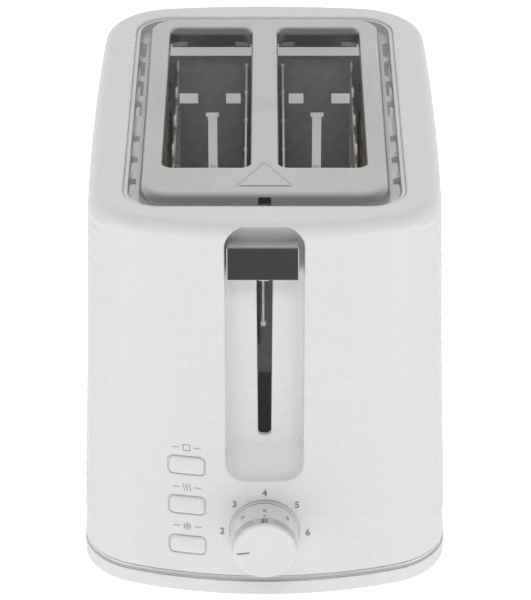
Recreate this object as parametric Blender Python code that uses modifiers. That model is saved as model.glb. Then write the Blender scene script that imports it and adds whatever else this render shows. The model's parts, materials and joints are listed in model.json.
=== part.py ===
"""Two-slot pop-up toaster, modelled as the separate pieces it is assembled from.

Frame: metres, +Z up, the control end faces -Y, the origin is under the middle
of the whole object on the surface it stands on.  Inside this file most lengths
are written in millimetres and multiplied by MM.  "s" is the distance behind the
upper front edge of the housing; Y = s + S0.
"""
import math
import bpy
import bmesh
from mathutils import Matrix, Vector

MM = 0.001

# ---- driving dimensions (mm) ------------------------------------------------
TOP = 191.5            # rim of the housing above the table
HOUSE_L = 250.0        # length of the housing at its rim
HOUSE_HW = 80.0        # half width of the housing at its rim
FLARE = 0.0322         # walls lean out by this much per mm downwards
FRONT_R = 190.0        # plan radius of the bowed control end
REAR_R = 420.0         # plan radius of the rear end
SIDE_R = 3200.0        # plan radius of the long sides
CORNER_R = 34.0        # plan radius of the four corners
SHOULDER_R = 6.0       # rounding between walls and rim
WALL = 2.5             # moulding thickness
SHELL_Z0 = 13.6        # lower edge of the housing
TRIM_Z = (11.0, 13.2)  # polished strip
SKIRT_Z0 = 3.0         # lower edge of the base skirt
KNOB_OUT = 17.7        # how far the browning knob stands out of the wall
KNOB_Z = 38.0
GAP = 0.3

OPEN_HW, OPEN_S0, OPEN_S1, OPEN_R = 63.6, 20.9, 231.8, 17.0   # opening in the rim
PLATE_HW, PLATE_S0, PLATE_S1, PLATE_R = 56.4, 29.0, 229.0, 14.0
SLOT_X = (6.4, 46.6)   # each bread slot, measured from the middle
SLOT_S = (60.0, 216.0)
SLOT_R = 4.5
TROUGH_Z = TOP - 7.0   # floor of the channel round the plate

REC_HW, REC_Z0, REC_Z1, REC_D, REC_R = 17.6, 64.2, TOP - 1.2, 9.0, 9.0     # lever channel
SLIT_HW, SLIT_Z = (3.0, 3.75), (80.6, 178.0)   # half widths at the bottom and top
TRAVEL = 78.0          # lever travel

RACK_Z = 106.0         # bread rack, raised
END_F, END_R = 56.0, 228.0     # steel end plates (front, rear)

LEAD_Z = 36.0          # height of the gland for the mains lead
GLAND_OUT = 5.0

FRONT_MOST = -FLARE * (TOP - KNOB_Z) - KNOB_OUT
REAR_MOST = HOUSE_L + FLARE * (TOP - LEAD_Z) + GLAND_OUT
S0 = -(FRONT_MOST + REAR_MOST) / 2.0

# ---- scene ------------------------------------------------------------------
for o in list(bpy.data.objects):
    bpy.data.objects.remove(o, do_unlink=True)
scene = bpy.context.scene
parts = bpy.data.collections.new("pop_up_toaster")
cutters = bpy.data.collections.new("cutters")
scene.collection.children.link(parts)
scene.collection.children.link(cutters)
cutters.hide_render = True

FINISH = {  # colour, roughness, metallic
    "white": ((0.80, 0.80, 0.80), 0.28, 0.0),
    "white_matte": ((0.74, 0.74, 0.74), 0.45, 0.0),
    "satin_steel": ((0.60, 0.60, 0.61), 0.32, 1.0),
    "chrome": ((0.75, 0.75, 0.76), 0.08, 1.0),
    "zinc_sheet": ((0.45, 0.45, 0.46), 0.42, 1.0),
    "mica": ((0.46, 0.40, 0.30), 0.55, 0.0),
    "nichrome": ((0.35, 0.33, 0.32), 0.40, 1.0),
    "black_plastic": ((0.03, 0.03, 0.03), 0.45, 0.0),
    "rubber": ((0.05, 0.05, 0.05), 0.75, 0.0),
    "board": ((0.12, 0.22, 0.10), 0.50, 0.0),
    "copper": ((0.62, 0.30, 0.15), 0.35, 1.0),
}


def material(finish):
    m = bpy.data.materials.get(finish)
    if m is None:
        m = bpy.data.materials.new(finish)
        m.use_nodes = True
        b = m.node_tree.nodes["Principled BSDF"]
        c, rough, metal = FINISH[finish]
        b.inputs["Base Color"].default_value = (*c, 1.0)
        b.inputs["Roughness"].default_value = rough
        b.inputs["Metallic"].default_value = metal
    return m


def add(name, mesh, finish=None, smooth=None):
    """Put a mesh in the scene as a part (with a finish) or as a cutter."""
    o = bpy.data.objects.new(name, mesh)
    if finish:
        parts.objects.link(o)
        mesh.materials.clear()
        mesh.materials.append(material(finish))
    else:
        cutters.objects.link(o)
        o.hide_render = True
        o.display_type = "WIRE"
    if smooth:
        mesh.shade_smooth()
        mesh.set_sharp_from_angle(angle=math.radians(smooth))
    return o


def from_bm(name, bm, finish=None, smooth=None):
    bmesh.ops.recalc_face_normals(bm, faces=bm.faces)
    me = bpy.data.meshes.new(name)
    bm.to_mesh(me)
    bm.free()
    return add(name, me, finish, smooth)


def P(x, s, z):
    return Vector((x * MM, (s + S0) * MM, z * MM))


def box(name, x, s, z, finish=None, bevel=0.0):
    """Rectangular block between pairs of x, s and z, edges rounded if asked."""
    lo, hi = P(x[0], s[0], z[0]), P(x[1], s[1], z[1])
    bm = bmesh.new()
    bmesh.ops.create_cube(bm, size=1.0)
    bmesh.ops.scale(bm, vec=hi - lo, verts=bm.verts)
    bmesh.ops.translate(bm, vec=(hi + lo) / 2, verts=bm.verts)
    o = from_bm(name, bm, finish)
    if bevel:
        b = o.modifiers.new("round", "BEVEL")
        b.width, b.segments, b.limit_method = bevel * MM, 2, "ANGLE"
    return o


def flat(name, loops, thick, place, finish=None, smooth=None):
    """Flat outline with holes (loops of 2-D points, mm), thick mm, centred on
    the plane that the matrix `place` puts it in."""
    cu = bpy.data.curves.new(name, "CURVE")
    cu.dimensions, cu.fill_mode = "2D", "BOTH"
    cu.extrude = thick * MM / 2
    cu.render_resolution_u = 0
    for pts in loops:
        sp = cu.splines.new("POLY")
        sp.points.add(len(pts) - 1)
        for p, (u, v) in zip(sp.points, pts):
            p.co = (u * MM, v * MM, 0, 1)
        sp.use_cyclic_u = True
    tmp = bpy.data.objects.new(name + "_outline", cu)
    scene.collection.objects.link(tmp)
    tmp.matrix_world = place
    bpy.context.view_layer.update()
    me = bpy.data.meshes.new_from_object(tmp.evaluated_get(bpy.context.evaluated_depsgraph_get()))
    bm = bmesh.new()
    bm.from_mesh(me)
    bmesh.ops.remove_doubles(bm, verts=bm.verts, dist=0.00002)
    bm.transform(place)
    bpy.data.meshes.remove(me)
    bpy.data.objects.remove(tmp, do_unlink=True)
    return from_bm(name, bm, finish, smooth)


def at_z(z):
    """Plane facing up at height z; 2-D points are (x, s)."""
    return Matrix.Translation((0, S0 * MM, z * MM))


def at_s(s):
    """Plane facing the control end at distance s; 2-D points are (x, z)."""
    return Matrix.Translation((0, (s + S0) * MM, 0)) @ Matrix.Rotation(math.radians(90), 4, "X")


def at_x(x):
    """Plane facing sideways at x; 2-D points are (s, z)."""
    turn = Matrix(((0, 0, 1, 0), (1, 0, 0, 0), (0, 1, 0, 0), (0, 0, 0, 1)))
    return Matrix.Translation((x * MM, S0 * MM, 0)) @ turn


def wire(name, pts, r, finish=None, res=2, closed=False):
    """Round wire through points given as (x, s, z)."""
    cu = bpy.data.curves.new(name, "CURVE")
    cu.dimensions = "3D"
    cu.bevel_depth, cu.bevel_resolution, cu.use_fill_caps = r * MM, res, True
    cu.render_resolution_u = 0
    sp = cu.splines.new("POLY")
    sp.points.add(len(pts) - 1)
    for p, q in zip(sp.points, pts):
        p.co = (*P(*q), 1)
    sp.use_cyclic_u = closed
    tmp = bpy.data.objects.new(name + "_line", cu)
    scene.collection.objects.link(tmp)
    bpy.context.view_layer.update()
    me = bpy.data.meshes.new_from_object(tmp.evaluated_get(bpy.context.evaluated_depsgraph_get()))
    bm = bmesh.new()
    bm.from_mesh(me)
    bmesh.ops.remove_doubles(bm, verts=bm.verts, dist=0.00001)
    bpy.data.meshes.remove(me)
    bpy.data.objects.remove(tmp, do_unlink=True)
    return from_bm(name, bm, finish, 40)


def turned(name, profile, where, axis="Z", steps=32, finish=None):
    """Turned solid: profile (radius, height) from top to bottom, spun about the
    axis through `where`; it ends on the axis or closes on itself."""
    me = bpy.data.meshes.new(name)
    bm = bmesh.new()
    ring = profile[0] == profile[-1]
    vs = [bm.verts.new((r * MM, 0, h * MM)) for r, h in (profile[:-1] if ring else profile)]
    for a, b in zip(vs, vs[1:] + (vs[:1] if ring else [])):
        bm.edges.new((a, b))
    bm.to_mesh(me)
    bm.free()
    o = add(name, me, finish)
    m = o.modifiers.new("spin", "SCREW")
    m.steps = m.render_steps = steps
    m.use_merge_vertices, m.merge_threshold = True, 0.00001
    m.use_smooth_shade = True
    o.location = where
    if axis == "Y":      # the profile's top faces the control end (-Y)
        o.rotation_euler = (math.radians(90), 0, 0)
    return o


def cut(o, tool, op="DIFFERENCE"):
    m = o.modifiers.new(op.lower() + "_" + tool.name, "BOOLEAN")
    m.operation, m.object, m.solver = op, tool, "EXACT"
    return o


def rounded(x0, x1, y0, y1, r, n=5):
    """Rounded rectangle as a closed list of points, counter-clockwise."""
    out = []
    for cx, cy, a0 in ((x1 - r, y1 - r, 0), (x0 + r, y1 - r, 90), (x0 + r, y0 + r, 180), (x1 - r, y0 + r, 270)):
        for i in range(n + 1):
            a = math.radians(a0 + 90 * i / n)
            out.append((cx + r * math.cos(a), cy + r * math.sin(a)))
    return out


def circle(cx, cy, r, n=20):
    turn = [2 * math.pi * (i + 0.35) / n for i in range(n)]
    return [(cx + r * math.cos(a), cy + r * math.sin(a)) for a in turn]


def meet(c1, r1, c2, r2, side):
    """Crossing point of two circles, the one on the asked side in x."""
    dx, dy = c2[0] - c1[0], c2[1] - c1[1]
    d = math.hypot(dx, dy)
    a = (r1 * r1 - r2 * r2 + d * d) / (2 * d)
    h = math.sqrt(max(r1 * r1 - a * a, 0))
    mx, my = c1[0] + a * dx / d, c1[1] + a * dy / d
    both = [(mx + h * dy / d, my - h * dx / d), (mx - h * dy / d, my + h * dx / d)]
    return max(both) if side > 0 else min(both)


def plan(inset=0.0, z=TOP, n_bow=8, n_corner=7, n_side=6):
    """Plan outline of the housing at height z, moved inwards by `inset`:
    four bowed sides with tangent corner arcs."""
    out = FLARE * (TOP - z) - inset
    hw, f, r = HOUSE_HW + out, -out, HOUSE_L + out
    mid = HOUSE_L / 2
    rc = CORNER_R - inset
    cf, rf = (0.0, f + FRONT_R), FRONT_R
    cb, rb = (0.0, r - REAR_R), REAR_R
    cs, rs = (hw - SIDE_R, mid), SIDE_R
    kf = meet(cf, rf - rc, cs, rs - rc, 1)        # centre of the front corner arc
    kb = meet(cb, rb - rc, cs, rs - rc, 1)

    def direction(c, k):
        return math.atan2(k[1] - c[1], k[0] - c[0])

    af, ab = direction(cf, kf), direction(cb, kb)
    as_f, as_b = direction(cs, kf), direction(cs, kb)
    right = []
    for i in range(n_bow):                        # front bow, middle -> corner
        a = -math.pi / 2 + (af + math.pi / 2) * i / n_bow
        right.append((cf[0] + rf * math.cos(a), cf[1] + rf * math.sin(a)))
    for i in range(n_corner):
        a = af + (as_f - af) * i / n_corner
        right.append((kf[0] + rc * math.cos(a), kf[1] + rc * math.sin(a)))
    for i in range(n_side):
        a = as_f + (as_b - as_f) * i / n_side
        right.append((cs[0] + rs * math.cos(a), cs[1] + rs * math.sin(a)))
    for i in range(n_corner):
        a = as_b + (ab - as_b) * i / n_corner
        right.append((kb[0] + rc * math.cos(a), kb[1] + rc * math.sin(a)))
    for i in range(n_bow + 1):
        a = ab + (math.pi / 2 - ab) * i / n_bow
        right.append((cb[0] + rb * math.cos(a), cb[1] + rb * math.sin(a)))
    return right + [(-x, y) for x, y in reversed(right[1:-1])]


def loft(name, rings, finish=None, smooth=None, ends=True):
    """Skin over rings of equal count; each ring is (z, points)."""
    bm = bmesh.new()
    loops = []
    for z, pts in rings:
        vs = [bm.verts.new(P(x, s, z)) for x, s in pts]
        loops.append([bm.edges.new((vs[i], vs[(i + 1) % len(vs)])) for i in range(len(vs))])
    for a, b in zip(loops, loops[1:]):
        bmesh.ops.bridge_loops(bm, edges=a + b)
    if ends:
        bmesh.ops.edgeloop_fill(bm, edges=loops[0])
        bmesh.ops.edgeloop_fill(bm, edges=loops[-1])
    return from_bm(name, bm, finish, smooth)


def wall_s(x, z):
    """Distance s of the outer face of the control end at x, z."""
    return -FLARE * (TOP - z) + FRONT_R - math.sqrt(FRONT_R ** 2 - x * x)


# ---- housing ----------------------------------------------------------------
outer = [(SHELL_Z0, plan(0, SHELL_Z0))]
for deg in (0, 30, 60, 90):
    a = math.radians(deg)
    z = TOP - SHOULDER_R + SHOULDER_R * math.sin(a)
    outer.append((z, plan(SHOULDER_R * (1 - math.cos(a)), z if deg < 90 else TOP)))
shell = loft("body_shell", outer, "white", 30)
hollow = loft("shell_hollow", [(SHELL_Z0 - 5, plan(WALL, SHELL_Z0 - 5)), (TOP - SHOULDER_R, plan(WALL, TOP - SHOULDER_R)),
                               (TOP - WALL, plan(SHOULDER_R, TOP - WALL))])
# the lever channel is a pocket whose walls stand inside the hollow
tub = flat("channel_outer", [rounded(-REC_HW - WALL, REC_HW + WALL, REC_Z0 - WALL, TOP + 6, REC_R + WALL)],
           40.0, at_s(REC_D + WALL - 20.0))
cut(hollow, tub)
cut(shell, hollow)
channel = flat("channel_cut", [rounded(-REC_HW, REC_HW, REC_Z0, REC_Z1, REC_R)], 40.0, at_s(REC_D - 20.0))
cut(shell, channel)
slit_ends = rounded(-1.0, 1.0, SLIT_Z[0], SLIT_Z[1], 0.9, 4)
slit_outline = []
for x, z in slit_ends:                        # it narrows downwards
    t = (z - SLIT_Z[0]) / (SLIT_Z[1] - SLIT_Z[0])
    slit_outline.append((x * (SLIT_HW[0] + (SLIT_HW[1] - SLIT_HW[0]) * t), z))
slit = flat("slit_cut", [slit_outline], 10.0, at_s(REC_D + 1.5))
cut(shell, slit)
rim_opening = flat("rim_opening", [rounded(-OPEN_HW, OPEN_HW, OPEN_S0, OPEN_S1, OPEN_R, 7)], 12.0, at_z(TOP))
cut(shell, rim_opening)

# openings at the rear: crumb tray and mains lead
TRAY_HW, TRAY_Z = 52.0, (13.9, 22.4)
tray_mouth = box("tray_mouth", (-TRAY_HW - 0.8, TRAY_HW + 0.8), (HOUSE_L - 12, HOUSE_L + 20), (SHELL_Z0 - 4, TRAY_Z[1] + 0.6))
cut(shell, tray_mouth)
lead_s = HOUSE_L + FLARE * (TOP - LEAD_Z)
cut(shell, flat("lead_hole", [circle(0, LEAD_Z, 6.4, 20)], 24.0, at_s(lead_s)))
# bosses for the base screws, each on a rib to the side wall
SCREW_XS = ((-64.0, 66.0), (64.0, 66.0), (-64.0, 196.0), (64.0, 196.0))
for i, (x, s) in enumerate(SCREW_XS):
    side = 1 if x > 0 else -1
    cut(shell, box(f"boss_rib_{i + 1}", sorted((x + side * 3.0, side * 83.4)), (s - 1.2, s + 1.2), (16.0, 32.0)), "UNION")
    cut(shell, flat(f"boss_{i + 1}", [circle(x, s, 5.0, 16)], 20.0, at_z(24.2)), "UNION")
    cut(shell, flat(f"boss_bore_{i + 1}", [circle(x, s, 1.6, 12)], 14.0, at_z(21.0)))

# three push buttons: x centre, z centre, half width, half height
BTN_X, BTN_HW, BTN_HH = -35.5, 8.0, 4.3
BUTTONS = (("button_cancel", 70.2), ("button_reheat", 49.4), ("button_defrost", 28.4))
btn_s = wall_s(BTN_X, 49.0)
holes = []
for name, z in BUTTONS:
    holes.append(flat(name + "_hole", [rounded(BTN_X - BTN_HW - 0.85, BTN_X + BTN_HW + 0.85, z - BTN_HH - 0.85, z + BTN_HH + 0.85, 2.9, 4)],
                      16.0, at_s(btn_s)))
for h in holes:
    cut(shell, h)
dial_s = wall_s(0, KNOB_Z)
cut(shell, flat("dial_seat", [circle(0, KNOB_Z, 16.4, 40)], 16.0, at_s(dial_s + 0.93 - 8.0)))
cut(shell, flat("dial_hole", [circle(0, KNOB_Z, 12.0, 28)], 16.0, at_s(dial_s)))

# ---- base -------------------------------------------------------------------
trim = loft("base_trim_ring", [(TRIM_Z[0], plan(0.2, TRIM_Z[0])), (TRIM_Z[1], plan(0.2, TRIM_Z[1]))], "chrome", 30)
cut(trim, loft("trim_hole", [(TRIM_Z[0] - 2, plan(3.4, TRIM_Z[0])), (TRIM_Z[1] + 2, plan(3.4, TRIM_Z[1]))]))
base = loft("base_cover", [(SKIRT_Z0, plan(1.0, SKIRT_Z0)), (SKIRT_Z0 + 1.0, plan(0, SKIRT_Z0)), (TRIM_Z[0] - GAP, plan(0, TRIM_Z[0]))],
            "white", 30)
cut(base, loft("base_hollow", [(SKIRT_Z0 + 2.5, plan(2.6, SKIRT_Z0)), (TRIM_Z[0] + 5, plan(2.6, TRIM_Z[0]))]))
FOOT_XS = ((-60.0, 30.0), (60.0, 30.0), (-60.0, 222.0), (60.0, 222.0))
for i, s in enumerate((70.0, 95.0, 160.0, 185.0)):        # cooling slots
    cut(base, box(f"floor_vent_{i + 1}", (-30.0, 30.0), (s - 3.0, s + 3.0), (0.0, 9.0)))
for i, (x, s) in enumerate(SCREW_XS):
    cut(base, flat(f"screw_hole_{i + 1}", [circle(x, s, 2.2, 12)], 12.0, at_z(4.0)))
    turned(f"base_screw_{i + 1}", [(0, 24.0), (1.2, 23.0), (1.2, 2.7), (3.6, 2.4), (3.6, 1.2), (0, 1.2)], P(x, s, 0), steps=16,
           finish="zinc_sheet")
for i, (x, s) in enumerate(FOOT_XS):
    turned(f"foot_{i + 1}", [(0, 2.7), (7.6, 2.7), (8.0, 1.0), (7.2, 0.0), (0, 0.0)], P(x, s, 0), steps=24, finish="rubber")

# ---- top: trough frame and steel plate --------------------------------------
frame = flat("vent_frame", [rounded(-OPEN_HW + GAP, OPEN_HW - GAP, OPEN_S0 + GAP, OPEN_S1 - GAP, OPEN_R - GAP, 7)],
             9.0, at_z(TOP - 5.4), "white_matte", 30)
cut(frame, flat("frame_well", [rounded(-OPEN_HW + 2.0, OPEN_HW - 2.0, OPEN_S0 + 2.0, OPEN_S1 - 2.0, OPEN_R - 2.0, 7)],
                20.0, at_z(TROUGH_Z + 10.0)))
cut(frame, flat("frame_middle", [rounded(-52.0, 52.0, 46.0, 225.0, 6.0, 4)], 30.0, at_z(TOP - 5.0)))
VENT_X, VENT_HW, VENT_L = 60.0, 1.5, 17.0
VENT_S = (54.4, 77.0, 99.6, 137.6, 160.8, 184.0, 206.4)
for i, s in enumerate(VENT_S):
    for side, tag in ((-1, "l"), (1, "r")):
        x = side * VENT_X
        cut(frame, box(f"vent_{tag}{i + 1}", (x - VENT_HW, x + VENT_HW), (s - VENT_L / 2, s + VENT_L / 2), (TOP - 14, TOP - 3)))

SLOTS = [sorted((side * SLOT_X[0], side * SLOT_X[1])) for side in (-1, 1)]
plate = flat("top_plate", [rounded(-PLATE_HW, PLATE_HW, PLATE_S0, PLATE_S1, PLATE_R, 6)], 7.0, at_z(TOP - 3.1), "satin_steel", 30)
under = flat("plate_under", [rounded(-PLATE_HW + 1.0, PLATE_HW - 1.0, PLATE_S0 + 1.0, PLATE_S1 - 1.0, PLATE_R - 1.0, 6)],
             20.0, at_z(TOP - 0.6 - 10.0))
for i, (x0, x1) in enumerate(SLOTS):
    cut(under, flat(f"slot_lip_{i + 1}", [rounded(x0 - 1.0, x1 + 1.0, SLOT_S[0] - 1.0, SLOT_S[1] + 1.0, SLOT_R + 1.0, 4)], 6.0, at_z(TOP - 3.2)))
cut(plate, under)
for i, (x0, x1) in enumerate(SLOTS):
    cut(plate, flat(f"bread_slot_{i + 1}", [rounded(x0, x1, SLOT_S[0], SLOT_S[1], SLOT_R, 4)], 40.0, at_z(TOP)))

# ---- steel chassis ----------------------------------------------------------
CH_HW, CH_TOP, LEG = 51.0, (178.2, 172.0), (54.0, 58.0)       # front and rear end plates differ in height


def end_outline(top):
    return [(-LEG[1], 5.9), (-LEG[0], 5.9), (-LEG[0], 23.4), (LEG[0], 23.4), (LEG[0], 5.9), (LEG[1], 5.9), (LEG[1], 32.0),
            (CH_HW, 32.0), (CH_HW, top), (-CH_HW, top), (-CH_HW, 32.0), (-LEG[1], 32.0)]



RACK_X = 26.5
front_slits = [[(c - 2.6, 25.4), (c + 2.6, 25.4), (c + 2.6, 112.0), (c - 2.6, 112.0)] for c in (-RACK_X, RACK_X)]
flat("front_end_plate", [end_outline(CH_TOP[0])] + front_slits, 0.8, at_s(END_F), "zinc_sheet")
rear_holes = []
for k in (-1, 1):
    for hole in ([(24.2, 25.4), (28.8, 25.4), (28.8, 138.1), (29.9, 138.1), (29.9, 140.6), (23.3, 140.6), (23.3, 138.1), (24.2, 138.1)],
                 [(33.8, 145.7), (43.8, 145.7), (43.8, 151.3), (33.8, 151.3)],
                 [(12.2, 145.7), (19.6, 145.7), (19.6, 151.3), (12.2, 151.3)]):
        rear_holes.append([(k * x, z) for x, z in hole])
flat("rear_end_plate", [end_outline(CH_TOP[1])] + rear_holes, 0.8, at_s(END_R), "zinc_sheet")
SPAN = (END_F + 0.8, END_R - 0.8)
BOARD = [(SPAN[0], 36.0), (SPAN[1], 36.0), (SPAN[1], 168.0), (SPAN[0], 168.0)]
for k, tag in ((-1, "left"), (1, "right")):
    box(f"side_reflector_{tag}", sorted((k * 50.2, k * 51.0)), SPAN, (24.0, 171.6), "zinc_sheet")
    flat(f"heater_board_{tag}", [BOARD], 0.9, at_x(k * 48.4), "mica")
    flat(f"tray_rail_{tag}", [[(k * a, b) for a, b in ((52.5, 5.9), (53.7, 5.9), (53.7, 22.0), (52.5, 22.0), (52.5, 13.5), (49.5, 13.5),
                                                       (49.5, 12.5), (52.5, 12.5))]], 160.0, at_s((SPAN[0] + SPAN[1]) / 2), "zinc_sheet")
flat("heater_board_center", [BOARD], 0.9, at_x(0), "mica")


def serpentine(name, x, z0, z1, runs, width=1.5):
    """Heating ribbon: horizontal runs joined at alternate ends, one flat strip."""
    s0, s1 = SPAN[0] + 8.0, SPAN[1] - 8.0
    line = []
    for i in range(runs):
        z = z0 + (z1 - z0) * i / (runs - 1)
        line += [(s0, z), (s1, z)] if i % 2 == 0 else [(s1, z), (s0, z)]
    left, right = [], []
    for i, p in enumerate(line):
        steps = [(line[i][0] - line[i - 1][0], line[i][1] - line[i - 1][1])] if i else []
        if i + 1 < len(line):
            steps.append((line[i + 1][0] - line[i][0], line[i + 1][1] - line[i][1]))
        normals = [(-dy / math.hypot(dx, dy), dx / math.hypot(dx, dy)) for dx, dy in steps]
        k = (sum(n[0] for n in normals), sum(n[1] for n in normals))
        left.append((p[0] + k[0] * width / 2, p[1] + k[1] * width / 2))
        right.append((p[0] - k[0] * width / 2, p[1] - k[1] * width / 2))
    return flat(name, [left + right[::-1]], 0.5, at_x(x), "nichrome")


serpentine("heating_ribbon_left", -47.35, 44.0, 160.0, 9)
serpentine("heating_ribbon_right", 47.35, 44.0, 160.0, 9)
serpentine("heating_ribbon_center_left", -1.05, 44.0, 160.0, 9)
serpentine("heating_ribbon_center_right", 1.05, 44.0, 160.0, 9)


def guard(name, x, w=1.8):
    """Bread guard: a grid of upright and level bars."""
    s0, s1, z0, z1, fields = SPAN[0] + 2.5, SPAN[1] - 2.5, 40.0, 170.0, 6
    pitch = (s1 - s0 - w) / fields
    rows = (z0, 84.0, 128.0, z1 - w)
    loops = [[(s0, z0), (s1, z0), (s1, z1), (s0, z1)]]
    for i in range(fields):
        a, b = s0 + w + i * pitch, s0 + (i + 1) * pitch
        for lo, hi in zip(rows, rows[1:]):
            loops.append([(a, lo + w), (b, lo + w), (b, hi), (a, hi)])
    return flat(name, loops, 1.6, at_x(x), "zinc_sheet")


guard("bread_guard_left_outer", -43.6)
guard("bread_guard_left_inner", -9.0)
guard("bread_guard_right_inner", 9.0)
guard("bread_guard_right_outer", 43.6)

# ---- lift carriage ----------------------------------------------------------
RUNGS = [74.0 + 26.0 * i for i in range(6)]
for c, tag in ((-RACK_X, "left"), (RACK_X, "right")):
    near, far = [], []
    for s in RUNGS:
        near += [(c + 1.6, s - 1.2), (c + 11.0, s - 1.2), (c + 11.0, s + 1.2), (c + 1.6, s + 1.2)]
        far += [(c - 1.6, s - 1.2), (c - 11.0, s - 1.2), (c - 11.0, s + 1.2), (c - 1.6, s + 1.2)]
    outline = [(c - 1.6, 39.2), (c + 1.6, 39.2)] + near + [(c + 1.6, END_R + 8.0), (c - 1.6, END_R + 8.0)] + far[::-1]
    flat(f"bread_rack_{tag}", [outline], 2.0, at_z(RACK_Z), "zinc_sheet")
POST = (8.0, 31.0)
carriage = flat("carriage_bracket", [[(-8.0, 158.0), (-2.0, 158.0), (-2.0, 112.0), (-34.0, 112.0), (-34.0, 98.0), (34.0, 98.0),
                                      (34.0, 112.0), (14.0, 112.0), (14.0, 176.0), (-8.0, 176.0)]], 1.5, at_s(38.0), "zinc_sheet")
cut(carriage, box("collar_up", (3.5, 12.5), (26.5, 38.2), (166.0, 172.0)), "UNION")
cut(carriage, box("collar_low", (3.5, 12.5), (26.5, 38.2), (100.0, 106.0)), "UNION")
cut(carriage, flat("post_bore", [circle(POST[0], POST[1], 2.35, 20)], 100.0, at_z(140.0)))
turned("guide_post", [(0, 177.8), (2.0, 177.4), (2.0, 6.2), (0, 5.9)], P(POST[0], POST[1], 0), steps=20, finish="chrome")
box("spring_hanger", (-24.0, 14.0), (27.0, END_F + 0.4), (178.2, 179.4), "zinc_sheet")
SPRING = (-18.0, 33.0, 3.0)
COILS, PER = 10, 8
coil = []
for i in range(COILS * PER + 1):
    a = 2 * math.pi * i / PER
    coil.append((SPRING[0] + SPRING[2] * math.cos(a), SPRING[1] + SPRING[2] * math.sin(a), 113.2 + (177.2 - 113.2) * i / (COILS * PER)))
wire("lift_spring", coil, 0.55, "zinc_sheet")
ARM_Z = (163.0, 171.0)
box("lever_arm", (-2.7, 2.1), (3.6, 36.9), ARM_Z, "white_matte")
knob = box("lever_knob", (-16.9, 15.3), (-0.4, 7.6), (165.4, 181.9), "chrome", 0.8)
cut(knob, box("arm_seat", (-3.1, 2.5), (3.2, 12.0), (160.0, ARM_Z[1] + 0.4)))
wire("lever_rod", [(-0.6, 15.0, 162.5), (-0.6, 15.0, 150.0), (-0.6, 15.0, 136.6), (-0.6, 17.0, 134.8), (-0.6, 36.9, 134.8)], 0.7, "chrome")

# ---- latch ------------------------------------------------------------------
LX = 21.5
box("latch_armature", (LX - 8.0, LX + 8.0), (30.0, 36.9), (99.0, 102.0), "zinc_sheet")
flat("magnet_core", [[(LX - 7.0, 6.0), (LX + 7.0, 6.0), (LX + 7.0, 20.6), (LX + 3.6, 20.6), (LX + 3.6, 9.6), (LX - 3.6, 9.6),
                      (LX - 3.6, 20.6), (LX - 7.0, 20.6)]], 6.0, at_s(33.4), "zinc_sheet")
flat("magnet_coil", [rounded(LX - 9.6, LX - 1.2, 27.6, 39.2, 2.0, 3), [(LX - 7.4, 30.0), (LX - 3.2, 30.0), (LX - 3.2, 36.8), (LX - 7.4, 36.8)]],
     8.4, at_z(14.6), "copper")

# ---- controls ---------------------------------------------------------------
BOARD_S = 13.5
# the board straddles the knob's shaft, with a notch open at its lower edge
flat("control_board", [[(-50.0, 17.0), (-50.0, 78.0), (-22.5, 78.0), (-22.5, 53.0), (26.0, 53.0), (26.0, 17.0), (4.4, 17.0), (4.4, 44.0),
                        (-4.4, 44.0), (-4.4, 17.0)]], 1.6, at_s(BOARD_S + 0.8), "board")
for name, z in BUTTONS:
    s = wall_s(BTN_X, z)
    cap = flat(name, [rounded(BTN_X - BTN_HW, BTN_X + BTN_HW, z - BTN_HH, z + BTN_HH, 2.1, 4)], 6.0, at_s(0), "white", 30)
    lean = math.asin(BTN_X / FRONT_R)             # the cap lies along the bowed wall
    cap.data.transform(Matrix.Translation(P(BTN_X, s + 2.4, z)) @ Matrix.Rotation(lean, 4, "Z") @ Matrix.Translation(-P(BTN_X, 0, z)))
    cut(cap, box(name + "_stem", (BTN_X - 1.5, BTN_X + 1.5), (s + 4.0, BOARD_S - 3.4), (z - 1.5, z + 1.5)), "UNION")
    box("switch_" + name[7:], (BTN_X - 3.0, BTN_X + 3.0), (BOARD_S - 1.6, BOARD_S - GAP), (z - 3.0, z + 3.0), "black_plastic")
turned("dial_ring", [(13.4, 0.5), (15.6, 0.5), (15.9, 0.3), (15.9, -0.5), (11.6, -0.5), (11.6, -3.2), (10.4, -3.2), (10.4, 0.5), (13.4, 0.5)],
       P(0, dial_s, KNOB_Z), "Y", 40, "white")
KNOB_R = 15.0
turned("browning_knob", [(0, KNOB_OUT), (14.2, KNOB_OUT), (14.7, 17.2), (14.7, 16.1), (13.4, 16.1), (13.4, 12.8), (KNOB_R + 0.1, 12.8), (KNOB_R + 0.5, 1.2),
                         (3.4, 1.2), (3.4, 12.4), (0, 12.4)], P(0, dial_s, KNOB_Z), "Y", 36, "white")
# polished band let into the side of the knob behind its front lip
turned("knob_ring", [(13.6, 15.9), (14.8, 15.9), (14.95, 15.7), (14.95, 13.2), (14.8, 13.0), (13.6, 13.0), (13.6, 15.9)], P(0, dial_s, KNOB_Z), "Y", 48, "chrome")
turned("knob_shaft", [(0, 12.0), (3.0, 12.0), (3.0, -22.0), (0, -22.0)], P(0, dial_s, KNOB_Z), "Y", 20, "white_matte")
dial_back = dial_s + 22.4
box("dial_switch", (-9.0, 9.0), (dial_back, dial_back + 6.0), (KNOB_Z - 9.0, KNOB_Z + 9.0), "black_plastic", 0.8)

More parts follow.
